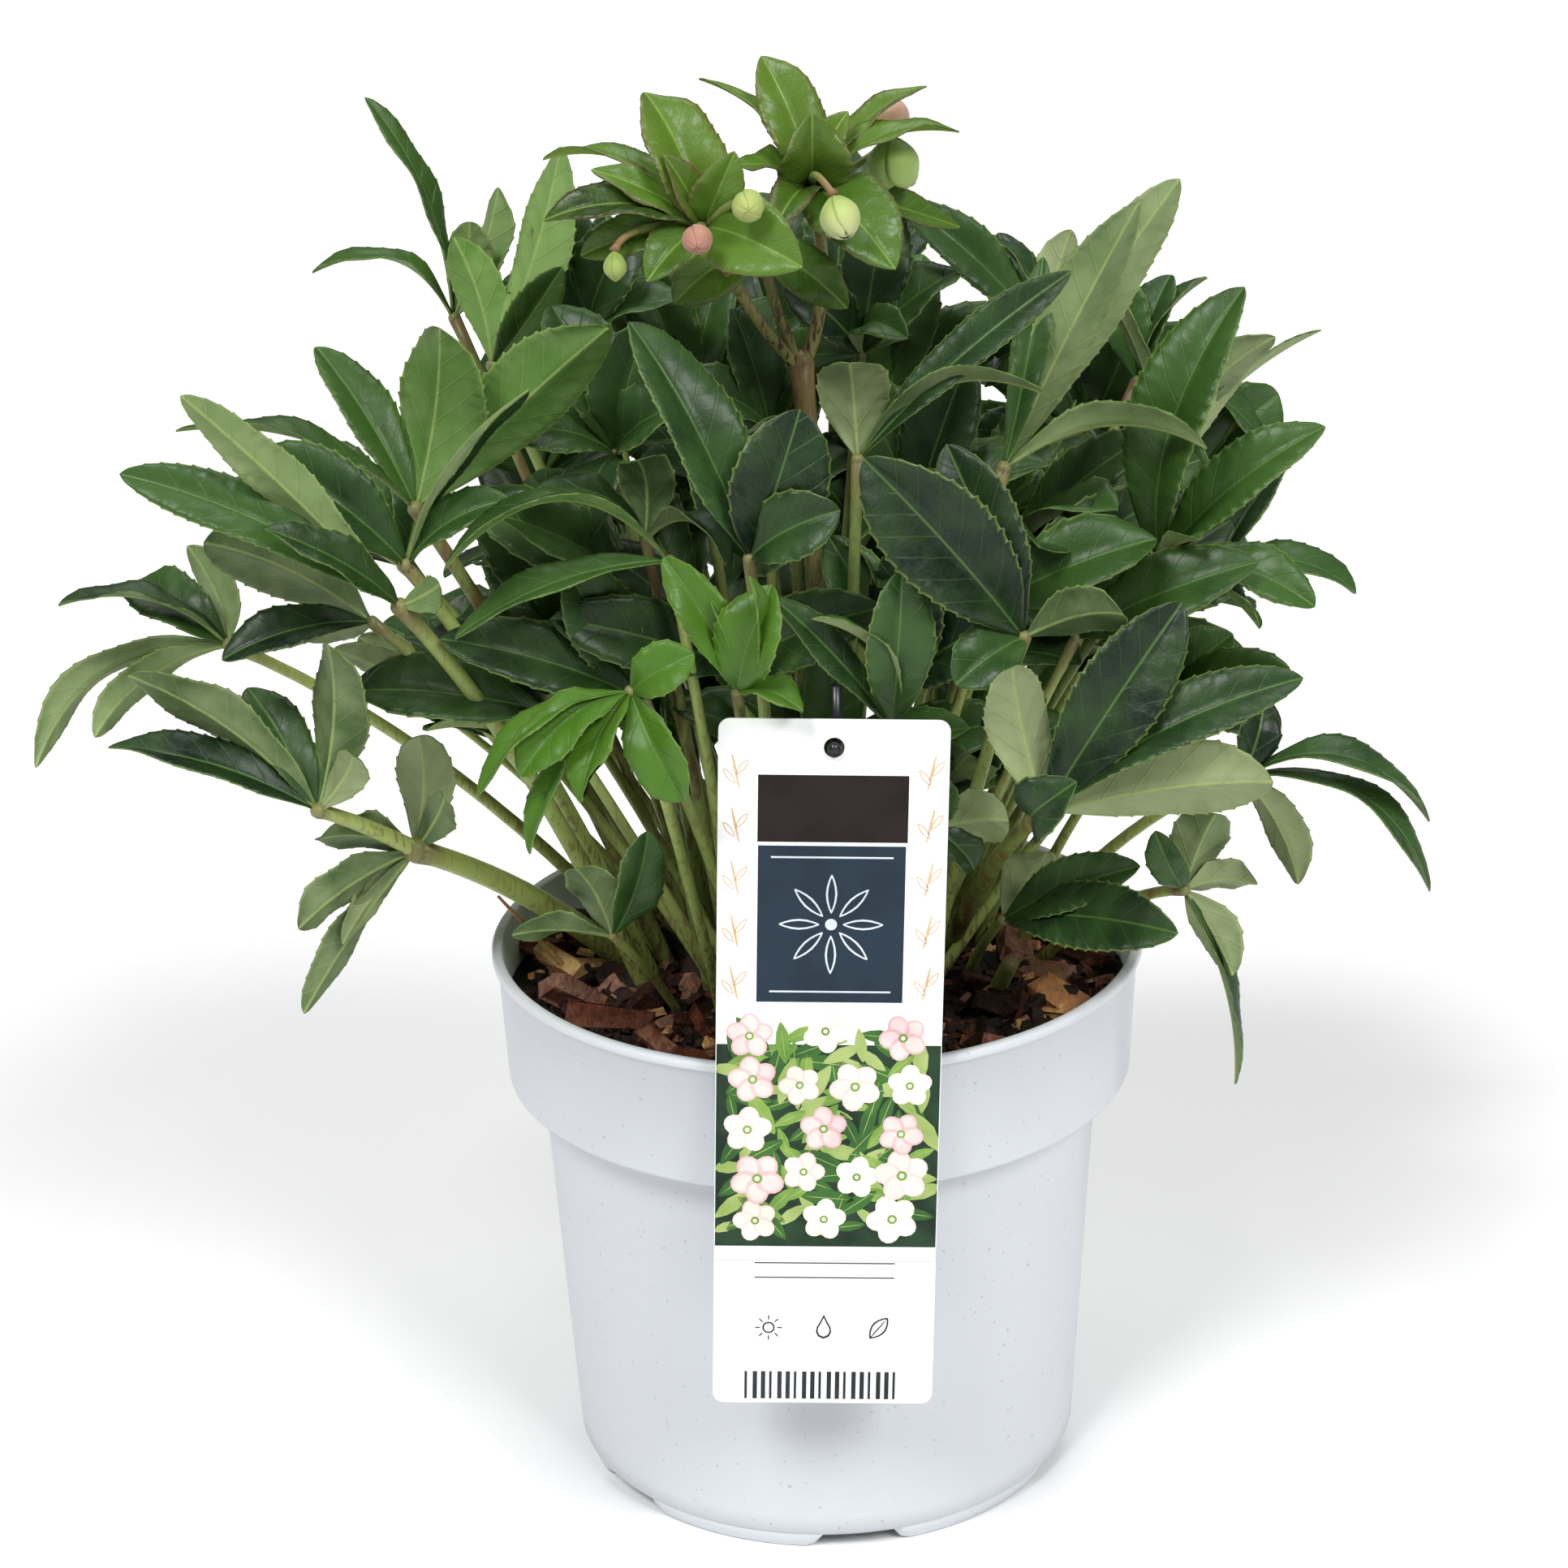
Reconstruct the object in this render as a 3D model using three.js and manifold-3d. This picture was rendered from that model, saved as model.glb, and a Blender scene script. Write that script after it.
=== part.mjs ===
// Hellebore in a nursery pot: pot, bark-topped soil, leaves, flowering stem, label and stake.
// Millimetres, +Z up, front of the plant toward -Y. Sizes are given round the pot's axis, with the
// foot at Z = 0; at the end the whole plant is centred over its footprint.
import * as THREE from 'three';
import { mergeVertices } from 'three/addons/utils/BufferGeometryUtils.js';
import Module from 'manifold-3d';

const wasm = await Module();
wasm.setup();

// ---- Driving dimensions ------------------------------------------------------------------------
const RIM_RADIUS = 95; // outside of the lip: a 19 cm pot
const POT_HEIGHT = 163;
const BASE_RADIUS = 75.4; // outside of the wall above the foot
const STEP_RADIUS = 91.9; // lower edge of the collar
const STEP_HEIGHT = 124;
const WALL_RADIUS = 82.4; // outside of the wall where it meets the collar
const LIP_HEIGHT = 2.6;
const LIP_DEPTH = 1.4;
const WALL = 1.8;
const FLOOR_HEIGHT = 6.5; // underside of the floor above the surface
const FLOOR_THICKNESS = 2;
const FOOT_HEIGHT = 5.6; // tapered band below the parting line
const FOOT_INSET = 2.4;
const FOOT_WIDTH = 3.4; // width of the flat ring that the pot stands on
const FLOOR_CORNER = 0.3; // the inner corner lies this much further out than the wall's thickness
const NOTCH = { count: 6, first: -84, top: 20, bottom: 27, height: 4.4, below: 1, inward: 10, depth: 14 };
const DRAIN = { count: 8, ring: 48, radius: 5, sides: 8 };
const POT_SIDES = 36;

const SOIL_TOP = 148;
const GAP = 0.3; // clearance between pieces that touch
const STEM_DEPTH = 12; // how deep stems stand in the soil
const CHIP = { count: 11, seed: 7, short: 7, long: 17, height: 4, inner: 22, outer: 82, lift: 0.4 };
const CHIP_WIDTH = { least: 0.35, spread: 0.25 }; // as shares of its length
const CHIP_TILT = 0.5; // radians between the two steepest
const CHIP_REACH = 0.55; // half of its diagonal as a share of its length
const KEPT = { points: 24, above: 14, margin: 2.5 }; // clear ground round a stem, up to this height

const LABEL = { width: 60, thickness: 0.6, corner: 3, hole: 2.7, holeDown: 7.6 };
const LABEL_TOP = [5, -89, 259.7]; // middle of the upper edge
const LABEL_FOOT = [-2.2, -102.8, 66.1]; // middle of the lower edge
const STAKE_FOOT = [5.2, -85.6, 129];
const STAKE_HEAD = [5.5, -86.6, 268];
const STAKE = { radius: 1.6, taper: 0.7, steps: 3, sides: 8 };
const PIN = { radius: 1.9, reach: 5.5, sides: 8 }; // from the stake forward through the label's hole

const OUTLINE = { base: 1.05, tip: 0.72 }; // powers that shape a blade toward its base and its tip
const TEETH_START = 0.24; // share of a blade's length below its first tooth
const TEETH_END = 0.9;
const TOOTH_SPACING = 20;
const TOOTH_CUT = 0.84; // width in the notch between teeth, as a share of the full width
const FOLD = 17; // degrees that each half of a blade rises from its midrib
const BLADE_THICKNESS = 1.3; // at the midrib; it runs out to the margin
const TIP_SHARE = 0.985; // share of the length at which a blade's point is cut square
// Knots: smallest size, size by stalk radius, how squarely a face must look toward what grows from
// it, and how far out from the middle a blade is rooted where no face does.
const KNOT = { least: 1.25, byRadius: 0.5, leastFacing: 0.35, rootShare: 0.08 };
const STALK = { steps: 3, sides: 4, square: 1.22, taper: 0.75 }; // its corners lie past the true radius
const TRUNK = { steps: 4, sides: 6, taper: 0.84 };
const PEDICEL = { steps: 3, sides: 4, foot: 1.1, head: 0.9 }; // radii of a flower's own stalk
const BUD_SIDES = 10;
const BUD_RINGS = [[0.02, 0.16], [0.16, 0.72], [0.5, 1], [0.82, 0.8], [1, 0.34]]; // [share up, share out]
const LOOSE = { steps: 2, sides: 6 }; // straws and stubs

// ---- Leaves ------------------------------------------------------------------------------------
// Each leaf: name, stalk [foot x, foot y, diameter, bow, start height where it isn't the soil],
// fork [x, y, z], blades [tip x, tip y, tip z, width, turn, arch]. Turn is how many degrees the
// upper face is turned from the front about the midrib: 0 shows the upper face, 180 the underside.
const LEAVES = [
  // upper left
  ['leaf_01', [-22, 30, 4, 8], [-88, 25, 328], [
    [-66, 30, 389, 22, 150, 4], [-66, 15, 358, 14, 20, 3], [-98, 35, 363, 16, 150, 4]]],
  ['leaf_02', [-30, 38, 4, 8], [-100, 47, 337], [
    [-94, 47, 365, 15, 165, 3], [-86, 57, 373, 15, 160, 4], [-123, 55, 400, 12, 75, 6],
    [-140, 42, 352, 13, 60, 12]]],
  ['leaf_03', [-40, 12, 5, 10], [-106, -30, 302], [
    [-96, -35, 353, 31, 165, 5], [-167, -45, 329, 16, 60, 10], [-133, -10, 343, 18, 30, 4],
    [-51, -35, 352, 26, 200, 6]]],
  ['leaf_04', [-44, 4, 5, 10], [-107, -50, 292], [
    [-71, -58, 341, 14, 100, -6], [-78, -55, 311, 14, -40, 5], [-145, -50, 324, 22, 25, 6],
    [-136, -52, 318, 12, 150, 4]]],
  // left
  ['leaf_05', [-46, -4, 5.5, 12], [-108, -64, 285], [
    [-158, -82, 348, 15, 150, 3], [-179, -64, 323, 18, 35, 8], [-139, -84, 313, 14, 30, 5],
    [-96, -74, 294, 10, 160, 1]]],
  ['leaf_06', [-40, 20, 4, 10], [-118, -45, 275], [
    [-161, -50, 300, 26, 145, 6], [-157, -60, 270, 16, 35, 5], [-140, -30, 266, 12, 150, 3]]],
  ['leaf_07', [-46, 36, 4.4, 12], [-162, -15, 260], [
    [-214, -40, 233, 14, 110, 14], [-198, -35, 240, 13, 120, 7], [-208, -20, 274, 13, 75, 8],
    [-193, 5, 272, 20, 25, 5], [-176, 10, 282, 16, 150, 4]]],
  // lower left: two forks on one stem
  ['leaf_08', [-48, 22, 8, 6], [-111, -40, 207], [
    [-108, -40, 241, 18, 160, 4], [-135, -58, 218, 17, 145, 4], [-101, -50, 226, 12, 170, 3],
    [-142, -62, 193, 15, 130, 3], [-132, -50, 183, 11, 140, 3], [-144, -52, 163, 13, 120, 2]]],
  ['leaf_08', [-111, -40, 5, 1, 207], [-134, -60, 227], [
    [-127, -68, 277, 21, 160, 6], [-180, -72, 271, 20, 140, 6], [-190, -58, 246, 18, 40, 6],
    [-154, -40, 256, 17, 25, 4], [-122, -72, 247, 12, 165, 3]]],
  ['leaf_09', [-36, -16, 3, 3], [-57, -50, 184], [
    [-84, -62, 190, 14, 110, 2], [-66, -56, 207, 18, 150, 3], [-46, -52, 216, 16, 40, 3]]],
  ['leaf_10', [-34, 36, 3, 6], [-108, 0, 235], [
    [-135, -5, 255, 13, 140, 3], [-129, 5, 255, 15, 150, 3], [-98, 10, 238, 11, -150, 2],
    [-92, 10, 258, 13, -160, 3]]],
  // front
  ['leaf_11', [-20, -8, 3.6, 6], [-37, -58, 294], [
    [-95, -80, 299, 17, 70, 18], [-94, -72, 278, 16, 50, 6]]],
  ['leaf_12', [-24, 0, 3.6, 6], [-44, -40, 295], [
    [-45, -48, 319, 17, 165, 6], [-73, -50, 311, 15, 60, 7], [-22, -62, 293, 15, -70, 9]]],
  ['leaf_13', [-8, -14, 4, 6], [-16, -68, 297], [
    [-2, -72, 338, 28, 10, 4], [8, -80, 313, 20, -25, 4], [-46, -55, 358, 25, 20, 8]]],
  ['leaf_14', [6, -14, 4, 4], [13, -50, 318], [
    [11, -58, 346, 21, 175, 5], [70, -45, 366, 14, -35, 4], [63, -64, 337, 14, -95, 12]]],
  ['leaf_15', [22, 0, 4.4, 6], [52, -40, 312], [
    [88, -35, 382, 20, -170, 5], [100, -25, 386, 22, -160, 7], [64, -20, 365, 11, 10, 4],
    [104, -60, 321, 17, -110, 10]]],
  ['leaf_16', [28, -14, 4.4, 6], [55, -72, 275], [
    [13, -84, 328, 30, 10, 4], [35, -68, 327, 22, 5, 4], [79, -92, 287, 18, -140, 4],
    [36, -86, 267, 19, 20, 3]]],
  ['leaf_17', [36, 22, 5.6, 8], [59, -88, 232], [
    [50, -98, 276, 19, -175, 5], [117, -104, 245, 26, -145, 4], [66, -110, 249, 18, -20, 9],
    [95, -84, 288, 25, -10, 5], [126, -92, 269, 20, -45, 7]]],
  // right
  ['leaf_18', [54, 26, 4, 10], [116, -50, 227], [
    [166, -62, 216, 18, -55, 14], [166, -66, 197, 13, -60, 14], [122, -46, 246, 13, 10, 4],
    [131, -60, 198, 15, -140, 5]]],
  ['leaf_19', [58, 12, 4, 8], [100, -58, 197], [
    [108, -60, 220, 18, -170, 3], [113, -66, 174, 16, -150, 3], [115, -62, 139, 11, -60, 5],
    [91, -64, 217, 12, -20, 3], [120, -60, 199, 14, -140, 3]]],
  ['leaf_20', [42, 10, 3.6, 3], [52, -36, 180], [
    [96, -84, 195, 22, -35, 5], [88, -62, 206, 17, -30, 4], [64, -40, 202, 16, -175, 3]]],
  ['leaf_21', [30, -30, 3, 3], [31, -70, 221], [
    [51, -78, 226, 18, -150, 3], [33, -70, 237, 13, 0, 2], [42, -70, 209, 13, -40, 2]]],
  ['leaf_22', [10, -34, 4, 4], [20, -74, 252], [
    [23, -82, 298, 20, 5, 4], [-1, -88, 287, 12, 80, 9], [-11, -84, 292, 12, 30, 3]]],
  // young shoots at the front
  ['leaf_23', [-26, -22, 3.6, 6], [-47, -96, 271], [
    [-86, -112, 249, 13, 60, 8], [-75, -112, 254, 17, 40, 6], [-60, -116, 248, 15, 30, 4],
    [-74, -110, 232, 13, 60, 5], [-30, -100, 282, 15, -10, 4], [-34, -106, 244, 16, 10, 4]]],
  ['leaf_24', [-12, -32, 3.6, 4], [-20, -84, 266], [
    [-10, -90, 297, 20, -10, 6], [-16, -98, 302, 9, 60, 5], [-26, -90, 293, 8, 60, 3],
    [-38, -86, 304, 14, 25, 4], [-3, -96, 264, 13, -40, 4]]],
  // upper right
  ['leaf_25', [46, 28, 4, 8], [96, -24, 280], [
    [117, -30, 358, 26, -35, 16], [139, -34, 320, 20, -30, 7], [136, -44, 272, 18, -45, 6],
    [120, -52, 269, 14, -60, 4], [103, -50, 294, 10, -100, 2], [75, -10, 298, 15, 165, 3]]],
  ['leaf_26', [36, 34, 3.6, 6], [100, 20, 289], [
    [82, 15, 350, 11, 95, 6], [134, 25, 331, 19, -125, 8], [151, 50, 327, 11, -95, 6],
    [130, 40, 324, 13, -150, 4]]],
  ['leaf_27', [26, 40, 3.6, 6], [97, 50, 313], [
    [108, 60, 342, 16, -30, 4], [118, 55, 342, 15, -60, 5], [88, 60, 344, 17, 10, 4],
    [137, 60, 287, 17, -60, 8], [110, 84, 306, 16, 10, 5]]],
  ['leaf_28', [14, 30, 3.6, 6], [69, 30, 330], [
    [28, 30, 371, 17, 25, 5], [44, 40, 360, 13, 60, 9], [77, 40, 360, 14, -150, 3],
    [91, 40, 332, 15, -60, 5], [56, 56, 316, 18, 10, 5]]],
  // middle
  ['leaf_29', [0, 28, 3.6, 4], [16, 22, 329], [
    [24, 34, 372, 22, 0, 4], [29, 5, 337, 14, -60, 8], [46, 26, 352, 20, -30, 5],
    [-6, 14, 352, 18, 30, 4], [22, 58, 330, 20, 10, 5], [-4, 52, 318, 18, 20, 5]]],
  ['leaf_30', [-12, 22, 3.6, 4], [-10, 6, 312], [
    [-20, 12, 346, 20, 20, 3], [-36, -6, 328, 18, 40, 5], [-28, -14, 304, 18, 50, 4],
    [2, 12, 332, 13, -30, 3], [-12, 40, 318, 18, 10, 5]]],
  ['leaf_31', [-30, 22, 4, 6], [-53, 0, 308], [
    [-70, 12, 348, 24, 20, 6], [-43, 2, 344, 23, -10, 5], [-84, -12, 318, 20, 40, 5],
    [-30, -14, 326, 22, -30, 5], [-60, -32, 292, 22, 30, 5], [-54, 34, 298, 18, 10, 5]]],
  ['leaf_32', [-16, 40, 3.6, 6], [-62, 42, 332], [
    [-74, 47, 372, 22, 20, 5], [-46, 42, 366, 22, -20, 5], [-86, 38, 348, 18, 60, 5],
    [-30, 34, 342, 20, -40, 5],
    [-66, 72, 306, 20, 20, 5], [-40, 68, 306, 18, -20, 5], [-86, 62, 306, 16, 30, 5]]],
  ['leaf_33', [-30, -8, 3.6, 6], [-48, -36, 254], [
    [-66, -54, 292, 24, 10, 4], [-58, -44, 284, 18, -10, 4], [-82, -44, 258, 20, 40, 4]]],
  ['leaf_34', [-30, 12, 3.6, 6], [-72, 12, 254], [
    [-96, 14, 290, 23, 30, 5], [-66, 12, 298, 24, 0, 5], [-62, -12, 286, 20, -10, 4],
    [-104, 4, 252, 18, 50, 4]]],
  ['leaf_35', [14, 14, 3.6, 6], [30, 10, 284], [
    [14, 16, 326, 24, 10, 5], [46, 12, 330, 24, -10, 5], [68, -2, 302, 22, -40, 4],
    [34, 42, 302, 20, -10, 5]]],
  ['leaf_36', [24, 10, 3.6, 6], [84, 6, 254], [
    [66, 12, 298, 24, 10, 5], [104, 10, 298, 22, -20, 5], [124, -2, 268, 20, -40, 4],
    [56, -4, 262, 20, 30, 4]]],
  ['leaf_37', [12, -6, 3.6, 4], [24, -26, 246], [
    [5, -16, 288, 20, 20, 4], [28, -34, 292, 24, 0, 4], [52, -40, 270, 22, -30, 4]]],
  ['leaf_38', [58, 40, 3.6, 8], [98, 6, 224], [
    [88, -6, 260, 22, 0, 5], [120, -2, 252, 22, -30, 5], [134, -6, 224, 20, -50, 5]]],
  ['leaf_39', [-10, 10, 3.6, 4], [-16, -20, 282], [
    [-34, -30, 322, 24, 20, 4], [-8, -30, 326, 22, -10, 4], [-2, -34, 290, 20, -30, 4]]],
  // back
  ['leaf_40', [-20, 48, 4, 10], [-60, 92, 300], [
    [-88, 110, 338, 22, 40, 6], [-58, 104, 356, 24, 0, 6], [-30, 120, 330, 20, -30, 6],
    [-96, 130, 300, 18, 50, 8],
    [-62, 128, 284, 20, 10, 6], [-32, 78, 276, 18, -10, 5], [-90, 84, 278, 18, 30, 5]]],
  ['leaf_41', [4, 46, 4, 8], [10, 84, 320], [
    [-14, 96, 362, 22, 20, 6], [14, 100, 376, 24, 0, 6], [40, 100, 352, 20, -30, 6],
    [4, 140, 322, 18, 0, 12],
    [36, 118, 306, 20, -20, 6], [-20, 114, 300, 20, 20, 6], [18, 64, 286, 18, 0, 4],
    [-10, 66, 290, 18, 20, 4]]],
  ['leaf_42', [22, 46, 4, 10], [72, 86, 296], [
    [60, 100, 348, 22, 10, 6], [96, 104, 338, 22, -30, 6], [118, 118, 298, 20, -50, 8],
    [70, 140, 290, 18, -10, 10],
    [46, 116, 276, 20, 10, 6], [92, 112, 268, 18, -20, 6], [46, 66, 278, 20, 20, 5],
    [70, 58, 270, 18, -10, 4]]],
  ['leaf_43', [-38, 44, 4, 12], [-120, 50, 262], [
    [-150, 70, 296, 22, 40, 6], [-170, 46, 270, 20, 60, 8], [-156, 90, 252, 18, 50, 8],
    [-112, 68, 302, 20, 20, 6]]],
  ['leaf_44', [42, 38, 4, 12], [122, 54, 252], [
    [150, 80, 280, 22, -40, 6], [164, 50, 246, 20, -60, 8], [140, 100, 236, 18, -40, 8],
    [112, 68, 294, 20, -20, 6]]],
  ['leaf_45', [-10, 54, 4, 12], [-34, 116, 244], [
    [-64, 148, 262, 22, 30, 8], [-30, 160, 268, 24, 0, 8], [-2, 152, 246, 20, -20, 8],
    [-46, 110, 290, 22, 10, 5], [-16, 118, 288, 20, -10, 5], [-28, 84, 268, 18, 0, 5]]],
  ['leaf_46', [16, 54, 4, 12], [50, 112, 236], [
    [28, 150, 254, 22, 10, 8], [66, 156, 250, 24, -10, 8], [92, 136, 236, 20, -40, 8],
    [38, 102, 280, 20, 10, 5], [70, 124, 280, 20, -10, 5], [46, 82, 258, 18, 0, 5]]],
  ['leaf_47', [-26, 52, 3.6, 8], [-84, 92, 214], [
    [-116, 118, 232, 20, 30, 6], [-88, 138, 226, 20, 10, 6], [-128, 96, 204, 18, 50, 6],
    [-74, 92, 260, 20, 10, 5], [-100, 104, 256, 18, 30, 5]]],
];

// Flowering stem: trunk and twigs [from, through, to, diameter], the rosette of bracts at the end of
// each twig and stalked flowers [name, stalk from, through, base, tip, diameter, lobe depth].
const BRANCHES = [
  [[2, 6, SOIL_TOP - STEM_DEPTH], [5, 2, 250], [-1, -2, 333], 7.2],
  [[-1, -2, 331], [-14, -10, 346], [-26, -28, 376], 3.6],
  [[-1, -2, 331], [9, -2, 350], [3, -12, 383], 4],
  [[-1, -2, 331], [-9, -4, 350], [-11, -12, 368], 3.4],
];
const ROSETTES = [
  [[-41, -16, 410, 22, 20, 6], [-55, -34, 393, 11, 30, 3], [-17, -40, 398, 14, 5, 3],
    [0, -50, 369, 22, -5, 6], [-36, -36, 397, 10, 20, 2], [-68, -36, 380, 14, 40, 7],
    [-59, -28, 369, 13, 20, 4], [-69, -12, 392, 13, 50, 10], [-41, -44, 365, 14, 20, 3]],
  [[-27, -2, 411, 13, 50, 6], [-10, -4, 417, 18, 20, 4], [3, -26, 405, 20, 0, 4],
    [13, -12, 403, 10, -20, 3], [43, -8, 396, 15, -50, 7], [35, 8, 406, 11, -50, 4],
    [44, 8, 367, 11, -40, 1], [-18, -18, 390, 13, 50, 3], [24, -42, 366, 23, -15, 5],
    [-8, -44, 377, 12, 20, 4]],
  [[-35, -16, 353, 18, 20, 4], [12, -18, 351, 14, -10, 4]],
];
const FLOWERS = [
  ['flower_pink', [-26, -28, 376], [-27, -38, 379], [-27, -47.5, 379], [-27.4, -55, 376], 8.6, 0.05],
  ['flower_green_small', [-26, -28, 376], [-18, -40, 386], [-14, -46, 386], [-14, -54, 385], 9, 0.05],
  ['flower_hanging', [-26, -28, 376], [-46, -34, 380], [-49, -41, 373], [-49, -42, 365], 6.6, 0.05],
  ['flower_back', [3, -12, 383], [22, 4, 388], [24, 14, 391], [26, 20, 401], 11.6, 0.08],
  ['flower_bell', [3, -12, 383], [20, -6, 402], [24.6, -3, 394.6], [25.2, -4, 380.6], 15.4, 0.07],
  ['flower_cream', [3, -12, 383], [2, -34, 394], [8, -41, 386], [11, -47, 376], 11.4, 0.07],
];
const FLOWER_COLORS = [0xd0967c, 0xa9b878, 0x93a05a, 0xb98f7c, 0x9ab465, 0xc9d08a];
const FINISH = { // [colour, roughness]
  leaf: [0x2c5434, 0.45],
  stem: [0x7f9455, 0.5],
  label: [0xf4f4f2, 0.3],
  stake: [0x17181a, 0.4],
  pot: [0xd9dde3, 0.45],
  soil: [0x2a1a14, 0.95],
};
const FLOWER_ROUGHNESS = 0.5;
const LOOSE_ROUGHNESS = 0.7;

// Loose pieces in the soil: [name, from, to, diameter at each end, colour].
const PIECES = [
  ['straw', [-63, -4, 141], [-93, 3, 175], 2.6, 0.9, 0xb89b6a],
  ['cut_stub', [50, -4, 139], [55, -27, 163], 5.4, 5, 0x8fa05a],
];

// ---- Mesh helpers ------------------------------------------------------------------------------
const vec = ([x, y, z]) => new THREE.Vector3(x, y, z);
const degrees = THREE.MathUtils.degToRad;
const FRONT = new THREE.Vector3(0, -0.94, 0.35); // the side that faces a viewer a little above

/** Closed solid through rings of equal size; the quads of both faces are split alike. The first
 * ring is closed by a fan from its corner `hinge`. */
function skin(rings, hinge = 0) {
  const size = rings[0].length;
  const index = [];
  for (let i = 0; i + 1 < rings.length; i += 1) {
    for (let j = 0; j < size; j += 1) {
      const a = i * size + j;
      const b = i * size + ((j + 1) % size);
      if (j % 2 === 0) index.push(a, b, b + size, a, b + size, a + size);
      else index.push(a, b, a + size, b, b + size, a + size);
    }
  }
  const last = (rings.length - 1) * size;
  for (let j = 1; j + 1 < size; j += 1) {
    index.push(hinge, (hinge + j + 1) % size, (hinge + j) % size, last, last + j, last + j + 1);
  }
  const geometry = new THREE.BufferGeometry();
  const coordinates = rings.flat().flatMap((point) => point.toArray());
  geometry.setAttribute('position', new THREE.Float32BufferAttribute(coordinates, 3));
  geometry.setIndex(index);
  return geometry;
}

function signedVolume(points, triangles) {
  const corner = (i) => new THREE.Vector3().fromArray(points, 3 * triangles[i]);
  let sum = 0;
  for (let i = 0; i < triangles.length; i += 3) sum += corner(i).dot(corner(i + 1).cross(corner(i + 2)));
  return sum;
}

/** Solid of a closed geometry, turned where its faces point in. */
function toSolid(geometry) {
  const bare = geometry.clone();
  bare.deleteAttribute('normal');
  bare.deleteAttribute('uv');
  const merged = mergeVertices(bare, 1e-4);
  const points = Float32Array.from(merged.getAttribute('position').array);
  const triangles = Uint32Array.from(merged.index.array);
  if (signedVolume(points, triangles) < 0) triangles.reverse();
  return new wasm.Manifold(new wasm.Mesh({ numProp: 3, vertProperties: points, triVerts: triangles }));
}

function toGeometry(solid) {
  const mesh = solid.getMesh();
  const geometry = new THREE.BufferGeometry();
  geometry.setAttribute('position', new THREE.Float32BufferAttribute(mesh.vertProperties, 3));
  geometry.setIndex(new THREE.Uint32BufferAttribute(mesh.triVerts, 1));
  geometry.computeVertexNormals();
  return geometry;
}

/** Everything joined in one body: sealed hollows are filled and loose scraps dropped. */
function join(solids) {
  const bodies = solids.reduce((sum, solid) => sum.add(solid)).decompose();
  return bodies.reduce((a, b) => (b.volume() > a.volume() ? b : a));
}

/** Rings of a round tube along a curve at parameters 0 to 1, its radius running from r0 to r1. */
function tubeRings(curve, r0, r1, steps, sides) {
  return Array.from({ length: steps + 1 }, (_, i) => {
    const along = curve.getTangent(i / steps);
    const across = new THREE.Vector3(0, 1, 0).cross(along).normalize();
    const other = along.clone().cross(across);
    const radius = r0 + ((r1 - r0) * i) / steps;
    return Array.from({ length: sides }, (_, j) => {
      const angle = (2 * Math.PI * j) / sides;
      return curve.getPoint(i / steps).addScaledVector(across, radius * Math.cos(angle))
        .addScaledVector(other, radius * Math.sin(angle));
    });
  });
}

const tube = (...shape) => skin(tubeRings(...shape));

const bend = (from, through, to) => new THREE.QuadraticBezierCurve3(vec(from), vec(through), vec(to));

/** Solid of revolution round Z through [radius, height] points that start and end on the axis. */
function turned(profile, sides) {
  const points = profile.map(([radius, height]) => new THREE.Vector2(radius, height));
  return new THREE.LatheGeometry(points, sides, Math.PI).rotateX(Math.PI / 2);
}

// ---- Blades, leaves and flowers ------------------------------------------------------------------
/** Share of a blade's full half-width at share u of its length: wedge base, wide past the middle. */
function outline(u) {
  const peak = OUTLINE.base / (OUTLINE.base + OUTLINE.tip);
  return (u ** OUTLINE.base * (1 - u) ** OUTLINE.tip) / (peak ** OUTLINE.base * (1 - peak) ** OUTLINE.tip);
}

/** Rings of a folded and arched blade from fork to tip, teeth alternate on its two margins. */
function bladeRings(fork, tip, width, turn, arch) {
  const chord = tip.clone().sub(fork);
  const along = chord.clone().normalize();
  const face = FRONT.clone().addScaledVector(along, -FRONT.dot(along)).normalize()
    .applyAxisAngle(along, degrees(turn));
  const middle = fork.clone().add(tip).multiplyScalar(0.5).addScaledVector(face, 2 * arch);
  const midrib = new THREE.QuadraticBezierCurve3(fork, middle, tip);
  const teeth = Math.min(Math.max(Math.round(chord.length() / TOOTH_SPACING), 3), 6);
  const fold = degrees(FOLD);
  return Array.from({ length: teeth + 1 }, (_, k) => {
    const u = k === teeth ? TIP_SHARE : TEETH_START + ((TEETH_END - TEETH_START) * k) / teeth;
    const tangent = midrib.getTangent(u);
    const normal = face.clone().addScaledVector(tangent, -face.dot(tangent)).normalize();
    const side = tangent.clone().cross(normal);
    const point = midrib.getPoint(u);
    const edge = (sign, cut) => {
      const half = Math.max(0.5 * width * outline(u) * cut, 0.4);
      return point.clone().addScaledVector(side, sign * half * Math.cos(fold))
        .addScaledVector(normal, half * Math.sin(fold));
    };
    const under = point.clone().addScaledVector(normal, -BLADE_THICKNESS * (1 - 0.5 * u));
    return [point, edge(1, k % 2 ? TOOTH_CUT : 1), under, edge(-1, k % 2 ? 1 : TOOTH_CUT)];
  });
}

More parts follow.
